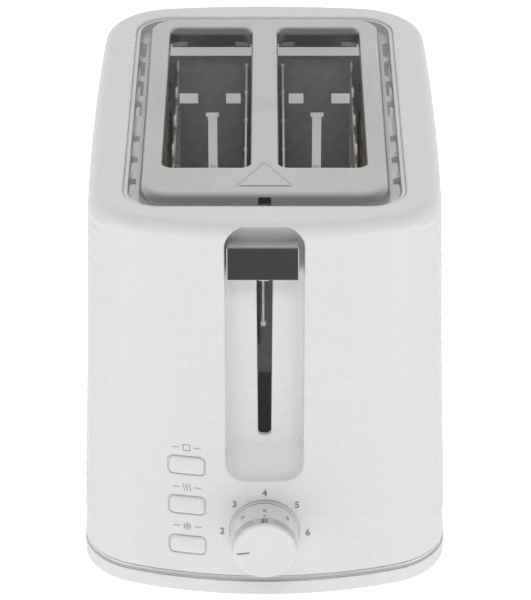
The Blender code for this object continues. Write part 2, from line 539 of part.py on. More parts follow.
# ---- rear -------------------------------------------------------------------
tray = box("crumb_tray", (-TRAY_HW, TRAY_HW), (62.0, HOUSE_L + 12.0), TRAY_Z, "zinc_sheet")
cut(tray, box("tray_well", (-TRAY_HW + 0.9, TRAY_HW - 0.9), (62.9, HOUSE_L - 6.0), (TRAY_Z[0] + 0.9, TRAY_Z[1] + 5.0)))
cut(tray, loft("tray_face", [(TRAY_Z[0] - 5, plan(0.0, TRAY_Z[0])), (TRAY_Z[1] + 5, plan(0.0, TRAY_Z[1]))]), "INTERSECT")
cut(tray, box("tray_grip", (-19.0, 19.0), (HOUSE_L - 2.0, HOUSE_L + 20.0), (TRAY_Z[0] - 2.0, TRAY_Z[0] + 5.4)))
turned("lead_gland", [(4.2, GLAND_OUT), (6.2, GLAND_OUT - 0.4), (8.4, 0.6), (6.0, 0.5), (6.0, -4.0), (4.2, -4.0), (4.2, GLAND_OUT)],
       P(0, lead_s, LEAD_Z), "Y", 24, "white_matte")
bpy.data.objects["lead_gland"].rotation_euler = (math.radians(-90), 0, 0)
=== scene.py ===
"""Looks of the two-slot pop-up toaster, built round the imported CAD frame.

Lengths are millimetres in (x, s, z): s is the distance behind the upper front
edge of the housing, as in the CAD source, and Y = s + S0.
"""
import json
import math

import bpy
import bmesh
import numpy as np
from mathutils import Matrix, Vector


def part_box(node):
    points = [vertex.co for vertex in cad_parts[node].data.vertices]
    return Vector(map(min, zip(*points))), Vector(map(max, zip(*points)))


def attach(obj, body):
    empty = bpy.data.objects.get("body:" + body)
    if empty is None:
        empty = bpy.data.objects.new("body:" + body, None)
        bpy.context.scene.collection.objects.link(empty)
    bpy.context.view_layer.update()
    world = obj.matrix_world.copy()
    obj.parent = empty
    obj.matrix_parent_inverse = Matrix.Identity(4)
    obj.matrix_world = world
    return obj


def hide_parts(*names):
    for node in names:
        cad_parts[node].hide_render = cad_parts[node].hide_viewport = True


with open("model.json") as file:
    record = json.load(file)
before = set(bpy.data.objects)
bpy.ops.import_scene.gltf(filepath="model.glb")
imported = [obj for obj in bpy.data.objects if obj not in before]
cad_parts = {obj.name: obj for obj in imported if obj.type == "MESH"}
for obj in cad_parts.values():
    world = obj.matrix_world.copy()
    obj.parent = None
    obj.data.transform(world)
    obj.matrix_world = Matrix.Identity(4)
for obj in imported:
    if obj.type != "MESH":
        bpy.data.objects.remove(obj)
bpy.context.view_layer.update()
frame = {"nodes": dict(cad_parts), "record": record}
MM = 0.001

# ---- driving dimensions, the same as the CAD model's -------------------------
TOP, HOUSE_L, HOUSE_HW = 191.5, 250.0, 80.0
FLARE, FRONT_R, REAR_R, SIDE_R = 0.0322, 190.0, 420.0, 3200.0
CORNER_R, SHOULDER_R, WALL = 34.0, 6.0, 2.5
SHELL_Z0, TRIM_Z, SKIRT_Z0 = 13.6, (11.0, 13.2), 3.0
KNOB_OUT, KNOB_Z, GAP = 17.7, 38.0, 0.3
OPEN_HW, OPEN_S0, OPEN_S1, OPEN_R = 63.6, 20.9, 231.8, 17.0
PLATE_HW, PLATE_S0, PLATE_S1, PLATE_R = 56.4, 29.0, 229.0, 14.0
SLOT_X, SLOT_S, SLOT_R = (6.4, 46.6), (60.0, 216.0), 4.5
TROUGH_Z = TOP - 7.0
REC_HW, REC_Z0, REC_Z1, REC_D, REC_R = 17.6, 64.2, TOP - 1.2, 9.0, 9.0
SLIT_HW, SLIT_Z = (3.0, 3.75), (80.6, 178.0)
LEAD_Z, BTN_X, BTN_HW, BTN_HH = 36.0, -35.5, 8.0, 4.3
BUTTONS = (("button_cancel", 70.2), ("button_reheat", 49.4), ("button_defrost", 28.4))
S0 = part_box("body_shell")[0].y / MM + FLARE * (TOP - SHELL_Z0)


def P(x, s, z):
    return Vector((x, s + S0, z)) * MM


# ---- materials ----------------------------------------------------------------
def new_material(name, color, rough, metal=0.0, **more):
    m = bpy.data.materials.new(name)
    m.use_nodes = True
    b = m.node_tree.nodes["Principled BSDF"]
    b.inputs["Base Color"].default_value = (*color, 1.0)
    b.inputs["Roughness"].default_value = rough
    b.inputs["Metallic"].default_value = metal
    for k, v in more.items():
        b.inputs[k.replace("_", " ")].default_value = v
    m.diffuse_color = (*color, 1.0)
    return m


def noise(m, scale, detail=2.0, stretch=None, kind="ShaderNodeTexNoise"):
    nt = m.node_tree
    tc = nt.nodes.get("coords") or nt.nodes.new("ShaderNodeTexCoord")
    tc.name = "coords"
    n = nt.nodes.new(kind)
    n.inputs["Scale"].default_value = scale
    if "Detail" in n.inputs:
        n.inputs["Detail"].default_value = detail
    if stretch:
        mp = nt.nodes.new("ShaderNodeMapping")
        mp.inputs["Scale"].default_value = stretch
        nt.links.new(tc.outputs["Object"], mp.inputs["Vector"])
        nt.links.new(mp.outputs["Vector"], n.inputs["Vector"])
    else:
        nt.links.new(tc.outputs["Object"], n.inputs["Vector"])
    return n


def out(n):
    for k in ("Fac", "Factor", "Distance"):
        if k in n.outputs:
            return n.outputs[k]
    return n.outputs[0]


def vary_color(m, n, a, b, lo=0.3, hi=0.7):
    nt = m.node_tree
    r = nt.nodes.new("ShaderNodeValToRGB")
    r.color_ramp.elements[0].position, r.color_ramp.elements[1].position = lo, hi
    r.color_ramp.elements[0].color = (*a, 1)
    r.color_ramp.elements[1].color = (*b, 1)
    nt.links.new(out(n), r.inputs["Fac"])
    nt.links.new(r.outputs["Color"], nt.nodes["Principled BSDF"].inputs["Base Color"])
    return r


def vary_rough(m, n, a, b, lo=0.3, hi=0.7):
    nt = m.node_tree
    r = nt.nodes.new("ShaderNodeMapRange")
    r.inputs["From Min"].default_value, r.inputs["From Max"].default_value = lo, hi
    r.inputs["To Min"].default_value, r.inputs["To Max"].default_value = a, b
    nt.links.new(out(n), r.inputs["Value"])
    nt.links.new(r.outputs["Result"], nt.nodes["Principled BSDF"].inputs["Roughness"])


def bump(m, n, strength, distance):
    nt = m.node_tree
    b = nt.nodes.new("ShaderNodeBump")
    b.inputs["Strength"].default_value = strength
    b.inputs["Distance"].default_value = distance
    nt.links.new(out(n), b.inputs["Height"])
    last = nt.nodes.get("last_bump")
    if last:
        nt.links.new(last.outputs["Normal"], b.inputs["Normal"])
        last.name = "bump"
    b.name = "last_bump"
    nt.links.new(b.outputs["Normal"], nt.nodes["Principled BSDF"].inputs["Normal"])


def plastic(name, tone, rough, coat=0.0):
    """Moulded plastic: faint mottling and uneven gloss."""
    m = new_material(name, tone, rough, IOR=1.46)
    if coat:
        b = m.node_tree.nodes["Principled BSDF"]
        b.inputs["Coat Weight"].default_value = coat
        b.inputs["Coat Roughness"].default_value = 0.12
    lo, hi = [c * 0.997 for c in tone], [min(1.0, c * 1.003) for c in tone]
    vary_color(m, noise(m, 28.0, 3.0), lo, hi)
    vary_rough(m, noise(m, 60.0, 2.0), rough * 0.93, rough * 1.07)
    return m


WHITE = plastic("white_gloss", (0.80, 0.80, 0.80), 0.27, 0.25)
WHITE_MATTE = plastic("white_matte", (0.74, 0.74, 0.735), 0.45)
STEEL = new_material("satin_steel", (0.60, 0.60, 0.61), 0.36, 1.0, Anisotropic=0.35)
vary_color(STEEL, noise(STEEL, 20.0, 2.0), (0.585, 0.585, 0.595), (0.615, 0.615, 0.62))
vary_rough(STEEL, noise(STEEL, 60.0, 3.0, (30.0, 1.0, 1.0)), 0.31, 0.42)
bump(STEEL, noise(STEEL, 90.0, 4.0, (30.0, 0.5, 8.0)), 0.10, 0.00005)
CHROME = new_material("polished_metal", (0.74, 0.74, 0.75), 0.07, 1.0)
vary_rough(CHROME, noise(CHROME, 220.0, 3.0), 0.05, 0.10)
vary_color(CHROME, noise(CHROME, 60.0, 2.0), (0.72, 0.72, 0.73), (0.77, 0.77, 0.78))
ZINC = new_material("plated_steel", (0.72, 0.72, 0.73), 0.38, 0.55)
vary_color(ZINC, noise(ZINC, 260.0, 0.0, kind="ShaderNodeTexVoronoi"), (0.68, 0.68, 0.69), (0.78, 0.78, 0.79), 0.0, 0.8)
vary_rough(ZINC, noise(ZINC, 90.0, 4.0), 0.30, 0.44)
bump(ZINC, noise(ZINC, 500.0, 3.0), 0.08, 0.0001)
MICA = new_material("mica_board", (0.46, 0.40, 0.30), 0.5)
vary_color(MICA, noise(MICA, 55.0, 8.0, (1.0, 1.0, 1.6)), (0.34, 0.29, 0.21), (0.58, 0.52, 0.42), 0.35, 0.65)
vary_rough(MICA, noise(MICA, 180.0, 3.0), 0.35, 0.65)
bump(MICA, noise(MICA, 150.0, 8.0), 0.25, 0.0003)
NICHROME = new_material("heating_alloy", (0.35, 0.33, 0.32), 0.42, 1.0)
vary_color(NICHROME, noise(NICHROME, 120.0, 4.0), (0.22, 0.21, 0.22), (0.46, 0.42, 0.38))
vary_rough(NICHROME, noise(NICHROME, 300.0, 3.0), 0.35, 0.60)
BLACK = new_material("black_plastic", (0.025, 0.025, 0.026), 0.42)
vary_rough(BLACK, noise(BLACK, 120.0, 3.0), 0.35, 0.52)
vary_color(BLACK, noise(BLACK, 60.0, 3.0), (0.020, 0.020, 0.021), (0.034, 0.034, 0.035))
bump(BLACK, noise(BLACK, 1500.0, 2.0), 0.15, 0.0001)
RUBBER = new_material("rubber_feet", (0.05, 0.05, 0.05), 0.8)
vary_color(RUBBER, noise(RUBBER, 90.0, 4.0), (0.035, 0.035, 0.035), (0.07, 0.07, 0.068))
bump(RUBBER, noise(RUBBER, 900.0, 4.0), 0.4, 0.0002)
BOARD_MAT = new_material("circuit_board", (0.05, 0.20, 0.07), 0.4)
vary_color(BOARD_MAT, noise(BOARD_MAT, 230.0, 0.0, kind="ShaderNodeTexVoronoi"), (0.03, 0.13, 0.05), (0.07, 0.26, 0.10), 0.1, 0.5)
vary_rough(BOARD_MAT, noise(BOARD_MAT, 150.0, 3.0), 0.30, 0.50)
bump(BOARD_MAT, noise(BOARD_MAT, 400.0, 2.0), 0.2, 0.0001)
COPPER = new_material("copper_winding", (0.62, 0.28, 0.14), 0.34, 1.0)
w = noise(COPPER, 1100.0, 2.0, kind="ShaderNodeTexWave")
w.bands_direction = "Z"
vary_color(COPPER, w, (0.40, 0.16, 0.08), (0.72, 0.34, 0.18), 0.1, 0.8)
bump(COPPER, w, 0.6, 0.0003)
INK = new_material("grey_print", (0.22, 0.22, 0.23), 0.5)
vary_color(INK, noise(INK, 700.0, 3.0), (0.19, 0.19, 0.20), (0.26, 0.26, 0.27))
vary_rough(INK, noise(INK, 500.0, 2.0), 0.42, 0.58)
INK_LIGHT = new_material("light_grey_print", (0.42, 0.42, 0.43), 0.5)
vary_color(INK_LIGHT, noise(INK_LIGHT, 700.0, 3.0), (0.39, 0.39, 0.40), (0.46, 0.46, 0.47))
vary_rough(INK_LIGHT, noise(INK_LIGHT, 500.0, 2.0), 0.42, 0.58)
# pale, half-diffuse finish on the polished trim: painted reflection of the bright floor, which glossy rays don't see
TRIM_PAINTED_REFLECTION = new_material("trim_painted_reflection", (0.88, 0.88, 0.88), 0.22, 0.4)
# paler, less metallic copy of the wire steel: painted highlight on the lever rod and on the wire tops and knots inside
# the slots
WIRE_PAINTED_HIGHLIGHT = new_material("wire_painted_highlight", (0.85, 0.85, 0.85), 0.3, 0.3)
vary_rough(WIRE_PAINTED_HIGHLIGHT, noise(WIRE_PAINTED_HIGHLIGHT, 300.0, 2.0), 0.24, 0.36)
vary_color(WIRE_PAINTED_HIGHLIGHT, noise(WIRE_PAINTED_HIGHLIGHT, 200.0, 2.0), (0.82, 0.82, 0.82), (0.88, 0.88, 0.88))
# inner faces of the housing: white plastic with a painted glow
WHITE_INNER_PAINTED_GLOW = plastic("white_inner_painted_glow", (0.80, 0.80, 0.80), 0.5)
b = WHITE_INNER_PAINTED_GLOW.node_tree.nodes["Principled BSDF"]            # painted glow: emission on the inner faces stands in for light that comes through the thin white moulding
b.inputs["Emission Color"].default_value = (1, 1, 1, 1)
b.inputs["Emission Strength"].default_value = 0.22
SLOT_MAT = {"white_gloss": WHITE, "white_matte": WHITE_MATTE, "satin_steel": STEEL, "polished_metal": CHROME,
            "plated_steel": ZINC, "mica_board": MICA, "heating_alloy": NICHROME, "black_plastic": BLACK,
            "rubber_feet": RUBBER, "circuit_board": BOARD_MAT, "copper_winding": COPPER}
NODE_SLOT = {e["node"]: e["material_slot"] for e in frame["record"].get("subparts", []) if "material_slot" in e}


# ---- mesh helpers ---------------------------------------------------------------
def smooth(o, deg=30):
    o.data.shade_smooth()
    o.data.set_sharp_from_angle(angle=math.radians(deg))
    return o


def make(name, verts, faces, mat=None, deg=30, tidy=True):
    v = np.asarray(verts, float).copy()
    v[:, 1] += S0
    me = bpy.data.meshes.new(name)
    me.from_pydata((v * MM).tolist(), [], [tuple(int(i) for i in f) for f in faces])
    if tidy:
        bm = bmesh.new()
        bm.from_mesh(me)
        bmesh.ops.recalc_face_normals(bm, faces=bm.faces)
        bm.to_mesh(me)
        bm.free()
    o = bpy.data.objects.new(name, me)
    bpy.context.scene.collection.objects.link(o)
    if mat:
        me.materials.append(mat)
    return smooth(o, deg)


def skin(rings, cap0=True, cap1=True, loop=False, base=0):
    """Quads over rings of equal count, with flat caps; or closed into a ring of rings."""
    n, m = len(rings[0]), len(rings)
    verts = np.concatenate([np.asarray(r, float) for r in rings])
    faces = []
    for k in range(m if loop else m - 1):
        a, b = base + k * n, base + ((k + 1) % m) * n
        faces += [(a + i, a + (i + 1) % n, b + (i + 1) % n, b + i) for i in range(n)]
    if not loop:
        if cap0:
            faces.append(tuple(base + i for i in range(n - 1, -1, -1)))
        if cap1:
            faces.append(tuple(base + (m - 1) * n + i for i in range(n)))
    return verts, faces


def lofted(name, rings, mat=None, deg=30, **kw):
    v, f = skin(rings, **kw)
    return make(name, v, f, mat, deg)


def cut(o, tool, op="DIFFERENCE"):
    md = o.modifiers.new("cut", "BOOLEAN")
    md.operation, md.object, md.solver = op, tool, "MANIFOLD"
    dg = bpy.context.evaluated_depsgraph_get()
    me = bpy.data.meshes.new_from_object(o.evaluated_get(dg))
    old = o.data
    o.modifiers.clear()
    o.data = me
    bpy.data.meshes.remove(old)
    bpy.data.objects.remove(tool)
    if len(me.polygons) == 0:
        raise RuntimeError("empty result: " + o.name)
    return o


def join(name, objs):
    """One mesh object out of several."""
    bm = bmesh.new()
    mats = []
    for o in objs:
        start = len(bm.faces)
        bm.from_mesh(o.data)
        bm.faces.ensure_lookup_table()
        index = {}
        for k, mt in enumerate(o.data.materials):
            if mt not in mats:
                mats.append(mt)
            index[k] = mats.index(mt)
        for f in bm.faces[start:]:
            f.material_index = index.get(f.material_index, 0)
    me = bpy.data.meshes.new(name)
    bm.to_mesh(me)
    bm.free()
    for mt in mats:
        me.materials.append(mt)
    for o in objs:
        bpy.data.objects.remove(o)
    o = bpy.data.objects.new(name, me)
    bpy.context.scene.collection.objects.link(o)
    return smooth(o)


def even_normals(o):
    """Normals at shared corners follow the larger faces, so that flat areas stay flat up to their rounded edges."""
    md = o.modifiers.new("normals", "WEIGHTED_NORMAL")
    md.mode, md.weight, md.keep_sharp = "FACE_AREA", 50, True
    me = bpy.data.meshes.new_from_object(o.evaluated_get(bpy.context.evaluated_depsgraph_get()))
    old = o.data
    o.modifiers.clear()
    o.data = me
    bpy.data.meshes.remove(old)
    return o


def stand_for(o, body, slot, *nodes):
    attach(o, body)
    if nodes:
        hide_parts(*nodes)
    return o


def rr(x0, x1, y0, y1, r, nc=8, nx=1, ny=1):
    """Rounded rectangle, counter-clockwise, with nx and ny pieces along its straight sides."""
    pts = []
    for cx, cy, a0, dx, dy, n in ((x1 - r, y1 - r, 0, -(x1 - x0 - 2 * r), 0, nx), (x0 + r, y1 - r, 90, 0, -(y1 - y0 - 2 * r), ny),
                                  (x0 + r, y0 + r, 180, x1 - x0 - 2 * r, 0, nx), (x1 - r, y0 + r, 270, 0, y1 - y0 - 2 * r, ny)):
        for i in range(nc + 1):
            a = math.radians(a0 + 90 * i / nc)
            pts.append((cx + r * math.cos(a), cy + r * math.sin(a)))
        last = pts[-1]
        pts += [(last[0] + dx * k / n, last[1] + dy * k / n) for k in range(1, n)]
    return np.array(pts)


def ring_z(pts, z):
    return np.column_stack([pts[:, 0], pts[:, 1], np.full(len(pts), z) if np.isscalar(z) else z])


def ring_s(pts, s):
    """Points given as (x, z)."""
    return np.column_stack([pts[:, 0], np.full(len(pts), s) if np.isscalar(s) else s, pts[:, 1]])


def circle_pts(cx, cy, r, n):
    a = 2 * np.pi * (np.arange(n) + 0.35) / n
    return np.column_stack([cx + r * np.cos(a), cy + r * np.sin(a)])


def lathe_y(name, profile, x, s, z, steps, mat, deg=30):
    """Profile (radius, distance out towards -Y), closed on the axis or on itself."""
    prof = list(profile)
    closed = prof[0] == prof[-1]
    if closed:
        prof = prof[:-1]
    a = 2 * np.pi * np.arange(steps) / steps
    verts, faces, idx = [], [], []
    for r, o in prof:
        if r <= 1e-9:
            idx.append([len(verts)])
            verts.append((x, s - o, z))
        else:
            idx.append(list(range(len(verts), len(verts) + steps)))
            verts += [(x + r * math.sin(t), s - o, z + r * math.cos(t)) for t in a]
    m = len(prof)
    for k in range(m if closed else m - 1):
        p, q = idx[k], idx[(k + 1) % m]
        for i in range(steps):
            j = (i + 1) % steps
            if len(p) == 1 and len(q) == 1:
                continue
            if len(p) == 1:
                faces.append((p[0], q[j], q[i]))
            elif len(q) == 1:
                faces.append((p[i], p[j], q[0]))
            else:
                faces.append((p[i], p[j], q[j], q[i]))
    return make(name, verts, faces, mat, deg)


def lathe_z(name, profile, x, s, z, steps, mat, deg=30):
    o = lathe_y(name, profile, 0, -S0, 0, steps, mat, deg)     # about the Y axis through the origin
    o.data.transform(Matrix.Translation(P(x, s, z)) @ Matrix.Rotation(math.radians(-90), 4, "X"))
    return o


def arc(cx, cy, r, a0, a1, n):
    return [(cx + r * math.cos(math.radians(a0 + (a1 - a0) * i / n)), cy + r * math.sin(math.radians(a0 + (a1 - a0) * i / n)))
            for i in range(n + 1)]


def tube(name, pts, r, mat, n=10, closed=False):
    """Round wire along points (x, s, z), with flat ends, parallel-transported."""
    p = np.array(pts, float)
    m = len(p)
    t = np.zeros_like(p)
    for i in range(m):
        a = p[(i - 1) % m] if closed or i else p[i]
        b = p[(i + 1) % m] if closed or i < m - 1 else p[i]
        t[i] = (b - a) / np.linalg.norm(b - a)
    ref = np.array([0, 0, 1.0]) if abs(t[0][2]) < 0.9 else np.array([1.0, 0, 0])
    u = np.cross(t[0], ref)
    u /= np.linalg.norm(u)
    rings = []
    for i in range(m):
        u = u - t[i] * np.dot(u, t[i])
        u /= np.linalg.norm(u)
        v = np.cross(t[i], u)
        k = 1.0
        if 0 < i < m - 1 or closed:
            a = p[(i - 1) % m]
            d1, d2 = p[i] - a, p[(i + 1) % m] - p[i]
            c = np.dot(d1, d2) / (np.linalg.norm(d1) * np.linalg.norm(d2))
            k = 1.0 / math.sqrt(max(0.25, (1 + c) / 2))
        rings.append([p[i] + (u * math.cos(q) + v * math.sin(q)) * r * (1.0 if k < 1.02 else 1.0) for q in 2 * np.pi * np.arange(n) / n])
    return lofted(name, rings, mat, 50, loop=closed)


def bend_path(pts, r, n=5):
    """Polyline with rounded corners of radius r."""
    p = [np.array(q, float) for q in pts]
    outp = [p[0]]
    for a, b, c in zip(p, p[1:], p[2:]):
        d1, d2 = (a - b), (c - b)
        l1, l2 = np.linalg.norm(d1), np.linalg.norm(d2)
        k = min(r, l1 * 0.45, l2 * 0.45)
        s, e = b + d1 / l1 * k, b + d2 / l2 * k
        for i in range(n + 1):
            t = i / n
            outp.append((1 - t) ** 2 * s + 2 * t * (1 - t) * b + t * t * e)
    outp.append(p[-1])
    return outp


# ---- housing ----------------------------------------------------------------------
def meet(c1, r1, c2, r2):
    dx, dy = c2[0] - c1[0], c2[1] - c1[1]
    d = math.hypot(dx, dy)
    a = (r1 * r1 - r2 * r2 + d * d) / (2 * d)
    h = math.sqrt(max(r1 * r1 - a * a, 0))
    mx, my = c1[0] + a * dx / d, c1[1] + a * dy / d
    return max([(mx + h * dy / d, my - h * dx / d), (mx - h * dy / d, my + h * dx / d)])


def plan(inset=0.0, z=TOP, n_bow=24, n_corner=24, n_side=90):
    """Plan outline of the housing at height z, moved inwards by inset."""
    o = FLARE * (TOP - z) - inset
    hw, f, r = HOUSE_HW + o, -o, HOUSE_L + o
    rc = CORNER_R - inset
    cf, cb, cs = (0.0, f + FRONT_R), (0.0, r - REAR_R), (hw - SIDE_R, HOUSE_L / 2)
    kf = meet(cf, FRONT_R - rc, cs, SIDE_R - rc)
    kb = meet(cb, REAR_R - rc, cs, SIDE_R - rc)

    def direction(c, k):
        return math.atan2(k[1] - c[1], k[0] - c[0])

    af, ab, sf, sb = direction(cf, kf), direction(cb, kb), direction(cs, kf), direction(cs, kb)
    right = []
    for c, rad, a0, a1, n, last in ((cf, FRONT_R, -math.pi / 2, af, n_bow, 0), (kf, rc, af, sf, n_corner, 0), (cs, SIDE_R, sf, sb, n_side, 0),
                                    (kb, rc, sb, ab, n_corner, 0), (cb, REAR_R, ab, math.pi / 2, n_bow, 1)):
        right += [(c[0] + rad * math.cos(a0 + (a1 - a0) * i / n), c[1] + rad * math.sin(a0 + (a1 - a0) * i / n)) for i in range(n + last)]
    return np.array(right + [(-x, y) for x, y in reversed(right[1:-1])])


def surf(x, z):
    """Distance s of the outer face of the control end, shoulder included."""
    x, z = np.asarray(x, float), np.asarray(z, float)
    up = np.clip(z - (TOP - SHOULDER_R), 0, SHOULDER_R - 1e-6)
    inset = SHOULDER_R - np.sqrt(SHOULDER_R ** 2 - up ** 2)
    return inset - FLARE * (TOP - np.minimum(z, TOP)) + FRONT_R - np.sqrt(FRONT_R ** 2 - x ** 2)


def on_rr(d, hx, hy, r):
    """Where the ray d from the middle of a rounded rectangle crosses its outline."""
    x, y = abs(d[0]), abs(d[1])
    t = min(hx / x if x > 1e-9 else 1e9, hy / y if y > 1e-9 else 1e9)
    if x * t > hx - r and y * t > hy - r:
        cx, cy = hx - r, hy - r
        a, b, c = x * x + y * y, -2 * (x * cx + y * cy), cx * cx + cy * cy - r * r
        t = (-b + math.sqrt(max(b * b - 4 * a * c, 0))) / (2 * a)
    return d[0] * t, d[1] * t


RIB_PITCH, RIB_H = 6.4, 0.36


def ribbed(pts, z):
    """Moves the long sides of an outline out by the level ribs of the grip area."""
    if not 27.0 < z < 187.0:
        return pts
    bow = 31.0 * ((z - 105.0) / 80.0) ** 2
    s_a, s_b = 46.0 - bow, 204.0 + bow
    t = np.roll(pts, -1, 0) - np.roll(pts, 1, 0)
    nrm = np.column_stack([t[:, 1], -t[:, 0]])
    nrm /= np.linalg.norm(nrm, axis=1)[:, None]
    wave = 0.5 + 0.5 * math.cos(2 * math.pi * (z - 27.0 - RIB_PITCH / 2) / RIB_PITCH)
    w = np.clip((pts[:, 1] - s_a) / 2.2, 0, 1) * np.clip((s_b - pts[:, 1]) / 2.2, 0, 1)
    w = w * w * (3 - 2 * w) * (np.abs(pts[:, 0]) > 40)
    return pts + nrm * (RIB_H * wave * w)[:, None]


def build_shell():
    rings = []
    zs = list(np.arange(SHELL_Z0 + 0.5, TOP - SHOULDER_R - 0.3, 0.8))
    rings.append(ring_z(plan(0.5, SHELL_Z0), SHELL_Z0))
    rings.append(ring_z(plan(0.12, SHELL_Z0), SHELL_Z0 + 0.15))
    for z in zs:
        rings.append(ring_z(ribbed(plan(0, z), z), z))
    for k in range(0, 11):
        a = math.radians(9 * k)
        z = TOP - SHOULDER_R + SHOULDER_R * math.sin(a)
        rings.append(ring_z(plan(SHOULDER_R * (1 - math.cos(a)), z), z))
    rim = rings[-1]
    mid_s = (OPEN_S0 + OPEN_S1) / 2
    hx, hy = OPEN_HW, (OPEN_S1 - OPEN_S0) / 2

    def opening(o, z):
        pts = np.array([on_rr((p[0], p[1] - mid_s), hx + o, hy + o, OPEN_R + o) for p in rim])
        pts[:, 1] += mid_s
        return ring_z(pts, z)

    f = 0.9
    for k in range(0, 6):
        a = math.radians(18 * k)
        rings.append(opening(f * (1 - math.sin(a)), TOP - f * (1 - math.cos(a))))
    rings.append(opening(0.0, TOP - 4.0))
    shell = lofted("housing_shell", rings, WHITE, 28)
    hollow = lofted("hollow", [ring_z(plan(WALL, SHELL_Z0 - 5, 12, 12, 10), SHELL_Z0 - 5),
                               ring_z(plan(WALL, TOP - SHOULDER_R, 12, 12, 10), TOP - SHOULDER_R),
                               ring_z(plan(SHOULDER_R, TOP - WALL, 12, 12, 10), TOP - WALL)])
    tub = rr(-REC_HW - WALL, REC_HW + WALL, REC_Z0 - WALL, TOP + 6, REC_R + WALL, 8)
    cut(hollow, lofted("tub", [ring_s(tub, -28.5), ring_s(tub, REC_D + WALL)]))
    cut(shell, hollow)
    # openings and bosses at the rear and inside
    cut(shell, lofted("tray_mouth", [ring_z(rr(-52.8, 52.8, HOUSE_L - 12, HOUSE_L + 20, 0.5, 2), SHELL_Z0 - 4),
                                     ring_z(rr(-52.8, 52.8, HOUSE_L - 12, HOUSE_L + 20, 0.5, 2), 23.0)]))
    lead_s = HOUSE_L + FLARE * (TOP - LEAD_Z)
    lead = circle_pts(0, LEAD_Z, 5.6, 32)
    cut(shell, lofted("lead_hole", [ring_s(lead, lead_s - 12), ring_s(lead, lead_s + 12)]))
    for x, s in ((-64.0, 66.0), (64.0, 66.0), (-64.0, 196.0), (64.0, 196.0)):
        side = 1 if x > 0 else -1
        xa, xb = sorted((x + side * 3.0, side * 83.4))
        box = rr(xa, xb, s - 1.2, s + 1.2, 0.2, 1)
        cut(shell, lofted("rib", [ring_z(box, 16.0), ring_z(box, 32.0)]), "UNION")
        boss = circle_pts(x, s, 5.0, 24)
        cut(shell, lofted("boss", [ring_z(boss, 14.2), ring_z(boss, 34.2)]), "UNION")
        bore = circle_pts(x, s, 1.6, 16)
        cut(shell, lofted("bore", [ring_z(bore, 10.0), ring_z(bore, 28.0)]))

    def mouth(name, outline, fillet, deep, cove=0.0, first=18.0, steps=5, ledge=None):
        """Cutter with a rounded mouth that follows the bowed wall; outline(o) gives (x, z) points grown by o."""
        o0 = fillet * (1 - math.sin(math.radians(first)))
        rs = [ring_s(outline(o0), -24.0)]
        for k in range(steps + 1):
            a = math.radians(first + (90 - first) * k / steps)
            pts = outline(fillet * (1 - math.sin(a)))
            rs.append(ring_s(pts, surf(pts[:, 0], pts[:, 1]) + fillet * (1 - math.cos(a))))
        if ledge:
            depth, inset = ledge
            for q, o in ((depth - 0.1, 0.0), (depth, -0.1), (depth, -inset)):
                pts = outline(o)
                rs.append(ring_s(pts, surf(pts[:, 0], pts[:, 1]) + q))
            rs.append(ring_s(outline(-inset), deep))
        elif cove:
            for k in range(7):
                a = math.radians(15 * k)
                rs.append(ring_s(outline(-cove * (1 - math.cos(a))), deep - cove + cove * math.sin(a)))
        else:
            rs.append(ring_s(outline(0.0), deep))
        return lofted(name, rs)

    def channel_cutter(fillet=1.1, cove=3.0, rise=12.5):
        """Channel with coved sides, whose lower end runs up to full depth on a slope."""
        def outline(o, up=0.0):
            return rr(-REC_HW - o, REC_HW + o, REC_Z0 - o + up, REC_Z1 + o, REC_R + o, 12, 14, 90)

        rs = [ring_s(outline(fillet * (1 - math.sin(math.radians(18.0)))), -24.0)]
        for k in range(6):
            a = math.radians(18 + 72 * k / 5)
            pts = outline(fillet * (1 - math.sin(a)))
            rs.append(ring_s(pts, surf(pts[:, 0], pts[:, 1]) + fillet * (1 - math.cos(a))))
        steps = [(0.1 * k, 0.0) for k in range(1, 8)] + [(0.7 + 0.3 * math.sin(math.radians(15 * k)), cove * (1 - math.cos(math.radians(15 * k)))) for k in range(1, 7)]
        for u, inset in steps:
            pts = outline(-inset, max(rise * u ** 1.2 - inset, 0.0))
            base = surf(pts[:, 0], pts[:, 1]) + fillet
            rs.append(ring_s(pts, base + (REC_D - base) * u))
        return lofted("channel", rs)

    cut(shell, channel_cutter())

    def slit_at(o):
        pts = rr(-3.4 - o, 3.4 + o, SLIT_Z[0] - o, SLIT_Z[1] + o, 2.6 + o, 8, 1, 6)
        t = np.clip((pts[:, 1] - SLIT_Z[0]) / (SLIT_Z[1] - SLIT_Z[0]), 0, 1)
        pts[:, 0] *= (SLIT_HW[0] + (SLIT_HW[1] - SLIT_HW[0]) * t) / 3.4         # it narrows downwards
        return pts

    slit, slit_wide = slit_at(0.0), slit_at(0.35)
    cut(shell, lofted("slit", [ring_s(slit_wide, REC_D - 1.0), ring_s(slit_wide, REC_D), ring_s(slit, REC_D + 0.4), ring_s(slit, REC_D + 6.0)]))
    for name, z in BUTTONS:
        cut(shell, mouth(name + "_hole", lambda o, z=z: rr(BTN_X - BTN_HW - 0.75 - o, BTN_X + BTN_HW + 0.75 + o, z - BTN_HH - 0.75 - o,
                                                           z + BTN_HH + 0.75 + o, 2.8 + o, 8, 6, 3), 0.45, 10.0, ledge=(1.15, 1.2)))
    dial_s = float(surf(0, KNOB_Z))
    cut(shell, mouth("dial_seat", lambda o: circle_pts(0, KNOB_Z, 16.1 + o, 96), 0.25, dial_s + 0.93))
    hole = circle_pts(0, KNOB_Z, 12.0, 48)
    cut(shell, lofted("dial_hole", [ring_s(hole, dial_s - 6), ring_s(hole, dial_s + 6)]))
    smooth(shell, 28)
    return shell


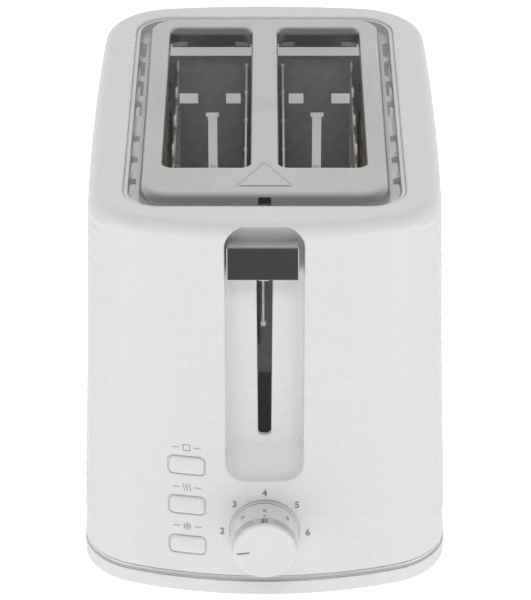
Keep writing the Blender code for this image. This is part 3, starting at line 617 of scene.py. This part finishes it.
shell = build_shell()
shell.data.materials.append(WHITE_INNER_PAINTED_GLOW)
INNER = len(shell.data.materials) - 1
# the inner faces behind the slots and vents get the painted glow material
for poly in shell.data.polygons:
    c = poly.center / MM
    s_ = c.y - S0
    inward = poly.normal.x * c.x + poly.normal.y * (s_ - 130.0) < 0
    if inward and 24.0 < c.z < TOP - 2.2 and s_ > 60.0:
        o_ = FLARE * (TOP - c.z)
        if (abs(c.x) < HOUSE_HW + o_ - 1.2 - 0.5 and s_ < HOUSE_L + o_ - 12.0) or (s_ < HOUSE_L + o_ - 1.6 - c.x ** 2 / (2 * REAR_R) and abs(c.x) < 55.0):
            poly.material_index = INNER
print("inner faces", sum(q.material_index == INNER for q in shell.data.polygons), len(shell.data.materials))
even_normals(shell)
stand_for(shell, "housing", "white_gloss", "body_shell")

# ---- trough round the plate ------------------------------------------------------
o1 = [rr(-OPEN_HW + GAP + k, OPEN_HW - GAP - k, OPEN_S0 + GAP + k, OPEN_S1 - GAP - k, OPEN_R - GAP - k, 14, 20, 30) for k in (0.0, 0.35, 1.7)]
inner = rr(-52.0, 52.0, 46.0, 225.0, 6.0, 14, 20, 30)
rings = [ring_z(o1[0], TOP - 9.9), ring_z(o1[0], TOP - 1.25), ring_z(o1[1], TOP - 0.9), ring_z(o1[2], TOP - 0.9)]
for k in range(7):
    a = math.radians(15 * k)
    q = 1.7 + 2.2 * (1 - math.cos(a)) + 0.0
    rings.append(ring_z(rr(-OPEN_HW + GAP + q, OPEN_HW - GAP - q, OPEN_S0 + GAP + q, OPEN_S1 - GAP - q, OPEN_R - GAP - q, 14, 20, 30),
                        TROUGH_Z + 2.2 - 2.2 * math.sin(a)))
rings += [ring_z(inner, TROUGH_Z), ring_z(inner, TOP - 9.9)]
trough = lofted("trough_frame", rings, WHITE_MATTE, 30, loop=True)
for s in (54.4, 77.0, 99.6, 137.6, 160.8, 184.0, 206.4):
    for side in (-1, 1):
        x = side * 60.0
        v0 = rr(x - 1.5, x + 1.5, s - 8.5, s + 8.5, 1.45, 6)
        cut(trough, lofted("vent", [ring_z(v0, TOP - 14), ring_z(v0, TOP - 3)]))
smooth(trough, 30)
even_normals(trough)
stand_for(trough, "housing", "white_matte", "vent_frame")


# ---- steel top plate ----------------------------------------------------------------
def build_plate():
    t = 0.6
    z1 = TOP + 0.4
    nc, nx, ny = 16, 24, 40
    verts, faces = [], []

    def add_rings(rs):
        base = sum(len(v) for v in verts)
        v, f = skin(rs, cap0=False, cap1=False, base=base)
        verts.append(v)
        faces.extend(f)
        n = len(rs[0])
        return list(range(base, base + n)), list(range(base + (len(rs) - 1) * n, base + len(rs) * n))

    loops = {}
    for key, off in (("out", 0.0), ("in", t)):
        low = rr(-PLATE_HW + off, PLATE_HW - off, PLATE_S0 + off, PLATE_S1 - off, PLATE_R - off, nc, nx, ny)
        high = rr(-PLATE_HW + 1.9, PLATE_HW - 1.9, PLATE_S0 + 7.2, PLATE_S1 - 1.9, PLATE_R - 2.6, nc, nx, ny)
        gap = np.linalg.norm(low - high, axis=1)
        h = np.minimum(gap, 6.0 - off)
        rs = [ring_z(low, TOP - 6.6)]
        for k in range(9, -1, -1):
            a = math.radians(10 * k)
            pts = high + (low - high) * math.sin(a)
            rs.append(ring_z(pts, z1 - off - h * (1 - math.cos(a))))
        loops[key + "_rim"] = add_rings(rs)
        for i, side in enumerate((-1, 1)):
            x0, x1 = sorted((side * SLOT_X[0], side * SLOT_X[1]))
            lip = 1.3
            rs = []
            bottom = rr(x0 - off, x1 + off, SLOT_S[0] - off, SLOT_S[1] + off, SLOT_R + off, 10, 12, 30)
            wide = rr(x0 - lip, x1 + lip, SLOT_S[0] - lip, SLOT_S[1] + 3.6, SLOT_R + lip + 0.8, 10, 12, 30)
            h = np.minimum(np.linalg.norm(wide - bottom, axis=1), 4.2 - off)
            rs.append(ring_z(bottom, TOP - 6.6))
            for k in range(9, -1, -1):
                a = math.radians(10 * k)
                rs.append(ring_z(wide + (bottom - wide) * math.sin(a), z1 - off - h * (1 - math.cos(a))))
            loops[f"{key}_slot{i}"] = add_rings(rs)
    v = np.concatenate(verts)
    v[:, 1] += S0
    bm = bmesh.new()
    bv = [bm.verts.new(Vector(p) * MM) for p in v]
    for f in faces:
        bm.faces.new([bv[i] for i in f])
    for key in ("out", "in"):
        edges = []
        for k in (f"{key}_rim", f"{key}_slot0", f"{key}_slot1"):
            ring = loops[k][1]
            edges += [bm.edges.get((bv[ring[i]], bv[ring[(i + 1) % len(ring)]])) for i in range(len(ring))]
        bmesh.ops.triangle_fill(bm, edges=edges, use_beauty=True, use_dissolve=False)
    for k in ("rim", "slot0", "slot1"):
        a, b = loops["out_" + k][0], loops["in_" + k][0]
        n = len(a)
        for i in range(n):
            bm.faces.new([bv[a[i]], bv[a[(i + 1) % n]], bv[b[(i + 1) % n]], bv[b[i]]])
    bmesh.ops.recalc_face_normals(bm, faces=bm.faces)
    me = bpy.data.meshes.new("top_plate_sheet")
    bm.to_mesh(me)
    bm.free()
    me.materials.append(STEEL)
    o = bpy.data.objects.new("top_plate_sheet", me)
    bpy.context.scene.collection.objects.link(o)
    return smooth(o, 30)


plate = build_plate()
notch = rr(-2.9, 2.9, TOP - 9.0, TOP - 0.9, 0.7, 6)
cut(plate, lofted("notch", [ring_s(notch, PLATE_S0 - 4), ring_s(notch, PLATE_S0 + 5)]))


def rounded_poly(pts, r, n=6):
    """Polygon with rounded corners."""
    p = [np.array(q, float) for q in pts]
    res = []
    for i in range(len(p)):
        a, b, c = p[i - 1], p[i], p[(i + 1) % len(p)]
        d1, d2 = (a - b) / np.linalg.norm(a - b), (c - b) / np.linalg.norm(c - b)
        ang = math.acos(max(-1, min(1, float(np.dot(d1, d2)))))
        k = r / math.tan(ang / 2)
        centre = b + (d1 + d2) / np.linalg.norm(d1 + d2) * (r / math.sin(ang / 2))
        s, e = b + d1 * k, b + d2 * k
        a0 = math.atan2(*(s - centre)[::-1])
        a1 = math.atan2(*(e - centre)[::-1])
        da = (a1 - a0 + math.pi) % (2 * math.pi) - math.pi
        res += [tuple(centre + r * np.array([math.cos(a0 + da * j / n), math.sin(a0 + da * j / n)])) for j in range(n + 1)]
    return np.array(res)


def triangle(grow):
    a, b, c = (0.0, 64.7 + grow * 2.18), (-12.5 - grow * 1.64, 40.5 - grow), (12.5 + grow * 1.64, 40.5 - grow)
    return rounded_poly([a, b, c], 0.45, 5)


zt = TOP + 0.4
groove = [ring_z(triangle(g), zt + d) for g, d in ((0.55, 0.6), (0.55, 0.0), (0.12, -0.38), (-0.12, -0.38), (-0.55, 0.0), (-0.55, 0.6))]
cut(plate, lofted("triangle_groove", groove, loop=True))


# folded skirt across the rear end of each slot, with a lighter tab at each corner: the tabs are a painted highlight for
# the light patches there
def upright(x0, x1, x2, s, z1, mat):
    """Upright sheet whose top edge runs from x0 to x1 and whose lower edge from x0 to x2."""
    pts = np.array([(x0, TOP - 3.0), (x0, z1), (x2, z1), (x1, TOP - 3.0)])
    return lofted("upright", [ring_s(pts, s), ring_s(pts, s + 0.35)], mat)


uprights = []
for side in (-1, 1):
    xa, xb = side * (SLOT_X[0] + 0.6), side * (SLOT_X[1] - 0.6)
    k = 1 if xb > xa else -1
    uprights.append(upright(xa, xb, xb, SLOT_S[1] + 0.75, TOP - 9.8, STEEL))
    # paler plated tabs on the satin sheet: painted highlight at the slot corners
    uprights.append(upright(xa, xa + k * 10.4, xa + k * 7.0, SLOT_S[1] + 0.25, TOP - 9.0, ZINC))
    uprights.append(upright(xb, xb - k * 10.4, xb - k * 7.0, SLOT_S[1] + 0.25, TOP - 9.0, ZINC))
plate = join("top_plate_sheet", [plate] + uprights)
even_normals(plate)
stand_for(plate, "housing", "satin_steel", "top_plate")

# ---- base and trim --------------------------------------------------------------------
rs = [ring_z(plan(o, z), z) for o, z in ((0.55, 11.0), (0.35, 11.08), (0.3, 11.3), (1.0, 11.38), (1.0, 11.95), (0.3, 12.08), (0.22, 12.4), (0.26, 12.9),
                                         (0.5, 13.2), (3.4, 13.2), (3.4, 11.0))]
trim = lofted("trim_strip", rs, TRIM_PAINTED_REFLECTION, 30, loop=True)
stand_for(trim, "housing", "polished_metal", "base_trim_ring")

rs = [ring_z(plan(1.6, SKIRT_Z0), SKIRT_Z0)]
for k in range(1, 7):
    a = math.radians(15 * k)
    rs.append(ring_z(plan(1.2 * (1 - math.sin(a)), SKIRT_Z0), SKIRT_Z0 + 1.2 * (1 - math.cos(a))))
rs += [ring_z(plan(0, SKIRT_Z0), 7.0), ring_z(plan(0, SKIRT_Z0), 10.3), ring_z(plan(0.12, SKIRT_Z0), 10.55), ring_z(plan(0.4, SKIRT_Z0), 10.7)]
base = lofted("base_skirt", rs, WHITE, 30)
cut(base, lofted("base_hollow", [ring_z(plan(2.6, SKIRT_Z0, 12, 12, 10), SKIRT_Z0 + 2.5), ring_z(plan(2.6, SKIRT_Z0, 12, 12, 10), 16.0)]))
for s in (70.0, 95.0, 160.0, 185.0):
    v0 = rr(-30, 30, s - 3, s + 3, 2.9, 6)
    cut(base, lofted("floor_vent", [ring_z(v0, -1.0), ring_z(v0, 9.0)]))
for x, s in ((-64.0, 66.0), (64.0, 66.0), (-64.0, 196.0), (64.0, 196.0)):
    v0 = circle_pts(x, s, 2.2, 20)
    cut(base, lofted("screw_hole", [ring_z(v0, -2.0), ring_z(v0, 10.0)]))
smooth(base, 30)
even_normals(base)
stand_for(base, "housing", "white_gloss", "base_cover")

# ---- lever -----------------------------------------------------------------------------
def rounded_box(name, x, s, z, r, mat, n=5, crown=0.0):
    """Box with all edges rounded; crown bulges its front face."""
    rings = []
    depth = s[1] - s[0]

    def outline(o):
        return rr(x[0] + o, x[1] - o, z[0] + o, z[1] - o, max(r - o, 0.05) + 0.0, 8, 16, 8)

    steps = []
    for k in range(n + 1):
        a = math.radians(90 * k / n)
        steps.append((r * (1 - math.sin(a)), s[0] + r * (1 - math.cos(a))))
    for k in range(n, -1, -1):
        a = math.radians(90 * k / n)
        steps.append((r * (1 - math.sin(a)), s[1] - r * (1 - math.cos(a))))
    inner_r = outline(steps[0][0])
    c = np.array([(x[0] + x[1]) / 2, (z[0] + z[1]) / 2])
    for f in (0.02, 0.3, 0.6, 0.85):
        pts = c + (inner_r - c) * f
        bulge = crown * (1 - f * f)
        rings.append(ring_s(pts, s[0] - bulge + 0.0))
    rings += [ring_s(outline(o), q) for o, q in steps]
    return lofted(name, rings, mat, 35)


knob_lo, knob_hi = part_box("lever_knob")
kx = (knob_lo.x / MM, knob_hi.x / MM)
ks = (knob_lo.y / MM - S0, knob_hi.y / MM - S0)
kz = (knob_lo.z / MM, knob_hi.z / MM)
lever = rounded_box("lever_handle", kx, (ks[0] + 0.25, ks[1]), kz, 0.7, CHROME, 4, 0.2)
seat = rr(-3.1, 2.5, 160.0, 171.4, 0.3, 2)
cut(lever, lofted("arm_seat", [ring_s(seat, 3.2), ring_s(seat, 12.0)]))
smooth(lever, 35)
stand_for(lever, "carriage", "polished_metal", "lever_knob")
arm = rounded_box("lever_tab", (-2.7, 2.1), (3.6, 36.9), (163.0, 171.0), 0.7, WHITE_MATTE, 4)
stand_for(arm, "carriage", "white_matte", "lever_arm")
# the rod and its ball take the painted highlight material in place of polished metal
rod = tube("lever_rod_wire", bend_path([(-0.6, 15.0, 162.5), (-0.6, 15.0, 134.8), (-0.6, 36.9, 134.8)], 2.4, 8), 0.6, WIRE_PAINTED_HIGHLIGHT, 14)
ball = lathe_z("lever_rod_ball", [(0, -1.5)] + [(1.5 * math.sin(math.radians(a)), -1.5 * math.cos(math.radians(a))) for a in range(15, 180, 15)] + [(0, 1.5)],
               -0.6, 15.0, 135.8, 20, WIRE_PAINTED_HIGHLIGHT, 60)
rod = join("lever_rod_wire", [rod, ball])
stand_for(rod, "carriage", "polished_metal", "lever_rod")

# ---- push buttons -----------------------------------------------------------------------
LEAN = math.asin(BTN_X / FRONT_R)
for name, z in BUTTONS:
    s = float(surf(BTN_X, z))
    rings = [ring_s(rr(-BTN_HW, BTN_HW, -BTN_HH, BTN_HH, 2.1, 8, 10, 4), 5.3)]
    r, rd = 1.25, 0.75
    for k in range(6, -1, -1):
        a = math.radians(15 * k)
        o = r * (1 - math.sin(a))
        rings.append(ring_s(rr(-BTN_HW + o, BTN_HW - o, -BTN_HH + o, BTN_HH - o, 2.1 - o, 8, 10, 4), -0.35 + rd * (1 - math.cos(a))))
    flat_ring = rings[-1]
    for f in (0.85, 0.65, 0.4, 0.15):
        q = flat_ring.copy()
        q[:, 0] *= f
        q[:, 2] *= f
        q[:, 1] = -0.35 - 0.22 * (1 - f * f)
        rings.append(q)
    cap = lofted("cap_" + name[7:], rings, WHITE, 35)
    cap.data.transform(Matrix.Translation(-P(0, 0, 0)))
    cap.data.transform(Matrix.Translation(P(BTN_X, s, z)) @ Matrix.Rotation(LEAN, 4, "Z") @ Matrix.Rotation(-math.atan(FLARE), 4, "X"))
    stem = rr(BTN_X - 1.5, BTN_X + 1.5, z - 1.5, z + 1.5, 0.3, 3)
    cut(cap, lofted("stem", [ring_s(stem, s + 4.0), ring_s(stem, 10.1)]), "UNION")
    smooth(cap, 35)
    stand_for(cap, name[7:] + "_button", "white_gloss", name)

# ---- browning control ---------------------------------------------------------------------
dial_s = float(surf(0, KNOB_Z))
ring_prof = [(13.4, 0.5), (15.5, 0.5)] + arc(15.5, 0.1, 0.4, 90, 0, 4) + [(15.9, -0.5), (11.6, -0.5), (11.6, -3.2), (10.4, -3.2), (10.4, 0.2), (10.7, 0.5), (13.4, 0.5)]
seat_ring = lathe_y("dial_seat_ring", ring_prof, 0, dial_s, KNOB_Z, 120, WHITE_MATTE)
stand_for(seat_ring, "housing", "white_matte", "dial_ring")
prof = [(0, 17.62), (6.0, 17.62), (12.8, 17.6)] + arc(13.3, 16.6, 1.0, 88, 0, 8) + [(14.3, 16.1), (13.4, 16.1), (13.4, 12.8), (15.0, 12.8)]
prof += arc(15.0, 12.65, 0.15, 90, 0, 3) + [(15.25, 7.0)] + arc(15.1, 1.6, 0.4, 0, -90, 4) + [(3.4, 1.2), (3.4, 12.4), (0, 12.4)]
knob = lathe_y("browning_dial", prof, 0, dial_s, KNOB_Z, 144, WHITE)
stand_for(knob, "browning_control", "white_gloss", "browning_knob")
rprof = [(13.45, 15.95), (13.8, 15.95), (14.95, 13.1), (14.9, 12.95), (13.45, 12.95), (13.45, 15.95)]
inlay = lathe_y("dial_inlay_ring", rprof, 0, dial_s, KNOB_Z, 144, CHROME)
stand_for(inlay, "browning_control", "polished_metal", "knob_ring")


# ---- printed marks ---------------------------------------------------------------------------
def print_on_wall(name, polys, mat, lift=0.06):
    """Thin closed marks laid on the control end. polys: lists of (x, z) points."""
    verts, faces = [], []
    for pts in polys:
        n = len(pts)
        base = len(verts)
        for d in (-lift, 0.10):
            for x, z in pts:
                verts.append((x, float(surf(x, z)) + d, z))
        faces.append(tuple(base + i for i in range(n)))
        faces.append(tuple(base + n + i for i in range(n - 1, -1, -1)))
        faces += [(base + i, base + (i + 1) % n, base + n + (i + 1) % n, base + n + i) for i in range(n)]
    return make(name, verts, faces, mat, 30)


def digit(ch, x, z, size, lift=0.06):
    cu = bpy.data.curves.new("digit_" + ch, "FONT")
    cu.body = ch
    cu.size = size
    cu.align_x, cu.align_y = "CENTER", "CENTER"
    cu.extrude = 0.08
    cu.offset = 0.09
    o = bpy.data.objects.new("digit_" + ch, cu)
    bpy.context.scene.collection.objects.link(o)
    bpy.context.view_layer.update()
    dg = bpy.context.evaluated_depsgraph_get()
    me = bpy.data.meshes.new_from_object(o.evaluated_get(dg))
    bpy.data.objects.remove(o)
    bm = bmesh.new()
    bm.from_mesh(me)
    bmesh.ops.remove_doubles(bm, verts=bm.verts, dist=1e-4)
    xs = [v.co.x for v in bm.verts]
    ys = [v.co.y for v in bm.verts]
    cx, cy = (min(xs) + max(xs)) / 2, (min(ys) + max(ys)) / 2
    for v in bm.verts:
        px, pz = x + v.co.x - cx, z + v.co.y - cy
        v.co = P(px, float(surf(px, pz)) + (0.02 - v.co.z) - lift + 0.02, pz)
    bmesh.ops.recalc_face_normals(bm, faces=bm.faces)
    bm.to_mesh(me)
    bm.free()
    me.materials.clear()
    me.materials.append(INK)
    ob = bpy.data.objects.new("dial_number_" + ch, me)
    bpy.context.scene.collection.objects.link(ob)
    return ob


numbers = [digit(c, x, z, 4.6) for c, x, z in (("2", -19.5, 37.3), ("3", -13.8, 51.8), ("4", 0.0, 57.9), ("5", 14.8, 51.3), ("6", 19.8, 36.5))]
numbers = join("dial_numbers", numbers)
stand_for(numbers, "housing", "white_matte")


def stroke(a, b, w):
    """Thick line as a closed outline, subdivided so that it can follow the wall."""
    a, b = np.array(a, float), np.array(b, float)
    d = (b - a) / np.linalg.norm(b - a)
    nrm = np.array([-d[1], d[0]]) * w / 2
    n = max(2, int(np.linalg.norm(b - a) / 1.0))
    return [tuple(a + (b - a) * i / n + nrm) for i in range(n + 1)] + [tuple(b + (a - b) * i / n - nrm) for i in range(n + 1)]


marks = []
for z in (79.6, 58.9, 38.3):
    for sgn in (-1, 1):
        marks.append(stroke((BTN_X + sgn * 3.4, z), (BTN_X + sgn * 6.5, z), 0.5))
z = 79.6                                                     # stop: a small framed square
for a, b in (((-1.5, -1.5), (1.5, -1.5)), ((1.5, -1.5), (1.5, 1.5)), ((1.5, 1.5), (-1.5, 1.5)), ((-1.5, 1.5), (-1.5, -1.5))):
    marks.append(stroke((BTN_X + a[0], z + a[1]), (BTN_X + b[0], z + b[1]), 0.55))
z = 58.9                                                     # reheat: three rising waves
for k in (-1.4, 0.0, 1.4):
    pts = [(BTN_X + k + 0.35 * math.sin(t * 2 * math.pi), z - 1.8 + 3.6 * t) for t in np.linspace(0, 1, 9)]
    marks += [stroke(p, q, 0.5) for p, q in zip(pts, pts[1:])]
z = 38.3                                                     # defrost: six-armed crystal
for k in range(6):
    a = math.radians(60 * k + 30)
    marks.append(stroke((BTN_X + 0.2 * math.cos(a), z + 0.2 * math.sin(a)), (BTN_X + 1.9 * math.cos(a), z + 1.9 * math.sin(a)), 0.45))
    for e in (-1, 1):
        b = a + e * math.radians(50)
        p = (BTN_X + 1.2 * math.cos(a), z + 1.2 * math.sin(a))
        marks.append(stroke(p, (p[0] + 0.7 * math.cos(b), p[1] + 0.7 * math.sin(b)), 0.35))
marks = print_on_wall("button_marks", marks, INK_LIGHT)
stand_for(marks, "housing", "white_matte")

# pointer line and scale dots of the dial
pa = math.radians(186.5)
ptr = []
for r0, r1, o_, w_ in ((6.9, 12.7, 17.6, 0.8),):
    n = 6
    d = np.array([math.cos(pa), math.sin(pa)])
    q = np.array([-d[1], d[0]])
    pts = [d * (r0 + (r1 - r0) * i / n) + q * w_ / 2 for i in range(n + 1)] + [d * (r1 + (r0 - r1) * i / n) - q * w_ / 2 for i in range(n + 1)]
    pts = np.array(pts) + np.array([0, KNOB_Z])
    front = np.full(len(pts), o_)
    ptr.append(lofted("pointer", [ring_s(pts, dial_s - front - 0.05), ring_s(pts, dial_s - front + 0.3)], INK, 30))
pointer = join("dial_pointer", ptr)
stand_for(pointer, "browning_control", "white_gloss")
dots = []
for a, o_c, size in ((-41, 7.0, 1.35), (0, 7.0, 1.2), (43, 7.0, 1.35), (0, 11.4, 0.9)):
    t = math.radians(a)
    rad = 15.3 - 0.012 * (o_c - 7.0)
    ctr = np.array([0, dial_s - o_c, KNOB_Z])
    rings = []
    for lift in (-0.2, 0.06):
        ring = []
        for k in range(20):
            q = 2 * math.pi * k / 20
            du, dv = 0.75 * size * math.cos(q), 0.95 * size * math.sin(q)
            ang = t + du / rad
            ring.append((math.sin(ang) * (rad + lift), ctr[1] + dv, KNOB_Z + math.cos(ang) * (rad + lift)))
        rings.append(np.array(ring))
    dots.append(lofted("dot", rings, INK_LIGHT, 30))
dots = join("dial_dots", dots)
stand_for(dots, "browning_control", "white_gloss")


# ---- wire guards --------------------------------------------------------------------------------
def wire_guard(name, node, outer_side, away):
    """Level wires crossed by upright ones; the tops of the upright wires are bent over (away = +-1 in x)."""
    lo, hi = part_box(node)
    x = (lo.x + hi.x) / 2 / MM
    s_a, s_b = lo.y / MM - S0 + 0.9, hi.y / MM - S0 - 0.9
    z_a, z_b = lo.z / MM + 0.9, hi.z / MM - 0.9
    r = 0.75
    levels = (z_a, 84.9, 128.9, z_b - 8.0) if outer_side else (z_a, 84.9, 128.9, z_b)
    parts = [tube("w", [(x, s_a, z), (x, (s_a + s_b) / 2, z), (x, s_b, z)], r if z < z_b else 0.55, ZINC, 10) for z in levels]
    n = 5
    for i in range(n + 1):
        s = s_a + 1.0 + (s_b - s_a - 2.0) * i / n
        if outer_side:
            q = [(x, s, z_a), (x, s, z_b - 5.0), (x - away * 0.1, s - 1.8, z_b - 2.6), (x, s + 1.2, z_b - 0.2), (x, s + 5.2, z_b - 0.2)]
            # all upright wires but the first take the painted highlight material
            parts.append(tube("w", bend_path(q, 1.6, 4), 0.65, WIRE_PAINTED_HIGHLIGHT if i else ZINC, 10))
        else:
            parts.append(tube("w", [(x, s, z_a), (x, s, (z_a + z_b) / 2), (x, s, z_b)], 0.65, ZINC, 10))
            # the knots take the painted highlight material
            knot = lathe_z("knot", [(0, -1.1)] + [(1.1 * math.sin(math.radians(a)), -1.1 * math.cos(math.radians(a))) for a in range(30, 180, 30)] + [(0, 1.1)],
                           x, s, z_b - 0.3, 12, WIRE_PAINTED_HIGHLIGHT, 60)
            parts.append(knot)
    return join(name, parts)


for side in ("left", "right"):
    for which in ("inner", "outer"):
        node = f"bread_guard_{side}_{which}"
        g = wire_guard("wire_" + node[6:], node, which == "outer", -1 if side == "left" else 1)
        stand_for(g, f"guard_{side}_{which}", "plated_steel", node)

# ---- the other CAD nodes keep their shape and get their material ------------------------------------
for n, o in frame["nodes"].items():
    m = SLOT_MAT.get(NODE_SLOT.get(n, ""), ZINC)
    o.data.materials.clear()
    o.data.materials.append(m)
    for p in o.data.polygons:
        p.material_index = 0

# ---- stage ---------------------------------------------------------------------------------------------
fm = bpy.data.materials.new("floor")
fm.use_nodes = True
fb = fm.node_tree.nodes["Principled BSDF"]
fb.inputs["Base Color"].default_value = (0.88, 0.88, 0.88, 1)
fb.inputs["Roughness"].default_value = 0.9
fb.inputs["Specular IOR Level"].default_value = 0.1
fb.inputs["Emission Color"].default_value = (1, 1, 1, 1)
fb.inputs["Emission Strength"].default_value = 0.79
floor_me = bpy.data.meshes.new("floor")
floor_me.from_pydata([(-8, -8, 0), (8, -8, 0), (8, 8, 0), (-8, 8, 0)], [], [(0, 1, 2, 3)])
floor_me.materials.append(fm)
floor = bpy.data.objects.new("floor", floor_me)
bpy.context.scene.collection.objects.link(floor)
floor.visible_glossy = False

world = bpy.data.worlds.new("studio")
bpy.context.scene.world = world
world.use_nodes = True
nt = world.node_tree
bg = nt.nodes["Background"]
tc = nt.nodes.new("ShaderNodeTexCoord")
sep = nt.nodes.new("ShaderNodeSeparateXYZ")


def ranged(value, f0, f1, t0, t1):
    r = nt.nodes.new("ShaderNodeMapRange")
    r.interpolation_type = "SMOOTHSTEP"
    for k, v in (("From Min", f0), ("From Max", f1), ("To Min", t0), ("To Max", t1)):
        r.inputs[k].default_value = v
    nt.links.new(value, r.inputs["Value"])
    return r.outputs["Result"]


nt.links.new(tc.outputs["Generated"], sep.inputs["Vector"])
mul = nt.nodes.new("ShaderNodeMath")
mul.operation = "MULTIPLY"
nt.links.new(ranged(sep.outputs["Y"], -0.15, 0.80, 0.24, 0.79), mul.inputs[0])   # brighter behind the object than above and in front
low = nt.nodes.new("ShaderNodeMath")
low.operation = "MAXIMUM"
nt.links.new(ranged(sep.outputs["Y"], -0.75, 0.10, 0.33, 1.1), low.inputs[0])     # below the horizon: dark only in front
nt.links.new(ranged(sep.outputs["Z"], -0.04, 0.08, 0.0, 1.0), low.inputs[1])
nt.links.new(low.outputs["Value"], mul.inputs[1])
across = nt.nodes.new("ShaderNodeMath")
across.operation = "ABSOLUTE"
nt.links.new(sep.outputs["X"], across.inputs[0])
sides = nt.nodes.new("ShaderNodeMath")
sides.operation = "MULTIPLY"
nt.links.new(ranged(across.outputs["Value"], 0.25, 0.75, 0.0, 0.88), sides.inputs[0])   # bright floor at both sides
nt.links.new(ranged(sep.outputs["Z"], -0.35, 0.0, 1.0, 0.0), sides.inputs[1])
both = nt.nodes.new("ShaderNodeMath")
both.operation = "MAXIMUM"
nt.links.new(mul.outputs["Value"], both.inputs[0])
nt.links.new(sides.outputs["Value"], both.inputs[1])
nt.links.new(both.outputs["Value"], bg.inputs["Color"])
bg.inputs["Strength"].default_value = 1.0


def area(name, loc, aim, size, power):
    la = bpy.data.lights.new(name, "AREA")
    la.shape = "RECTANGLE"
    la.size, la.size_y = size
    la.energy = power
    lo = bpy.data.objects.new(name, la)
    bpy.context.scene.collection.objects.link(lo)
    lo.location = loc
    lo.rotation_mode = "QUATERNION"
    lo.rotation_quaternion = (Vector(aim) - Vector(loc)).to_track_quat("-Z", "Y")
    lo.visible_glossy = False
    return lo


area("softbox_left", (-1.5, -1.5, 0.30), (0, 0, 0.1), (1.0, 0.5), 0.5)
area("softbox_right", (1.5, -1.5, 0.30), (0, 0, 0.1), (1.0, 0.5), 0.5)
area("front_fill", (0, -2.4, 0.30), (0, 0, 0.1), (2.0, 0.5), 0.8)
area("side_left", (-2.2, 0.1, 0.8), (0, 0, 0.1), (1.2, 1.2), 0.4)
area("side_right", (2.2, 0.1, 0.8), (0, 0, 0.1), (1.2, 1.2), 0.4)
area("high_front", (0, -1.35, 1.89), (0, -0.12, 0.19), (1.6, 0.7), 14.2)
area("overhead", (0, 0.3, 2.2), (0, 0, 0), (1.6, 1.6), 4.2)

cam_data = bpy.data.cameras.new("camera")
cam = bpy.data.objects.new("camera", cam_data)
bpy.context.scene.collection.objects.link(cam)
cam_data.sensor_width, cam_data.sensor_fit = 36.0, "HORIZONTAL"
cam_data.lens = 3131.0 / 531.0 * 36.0
cam_data.clip_start, cam_data.clip_end = 0.05, 50.0
cam.location = (0.0004, (-1217.0 + S0) * MM, 0.8165)
cam.rotation_euler = (math.radians(61.5), 0.0, 0.0)
bpy.context.scene.camera = cam

vs = bpy.context.scene.view_settings
vs.view_transform = "Standard"
vs.look = "None"
vs.exposure = 0.0
vs.gamma = 1.0
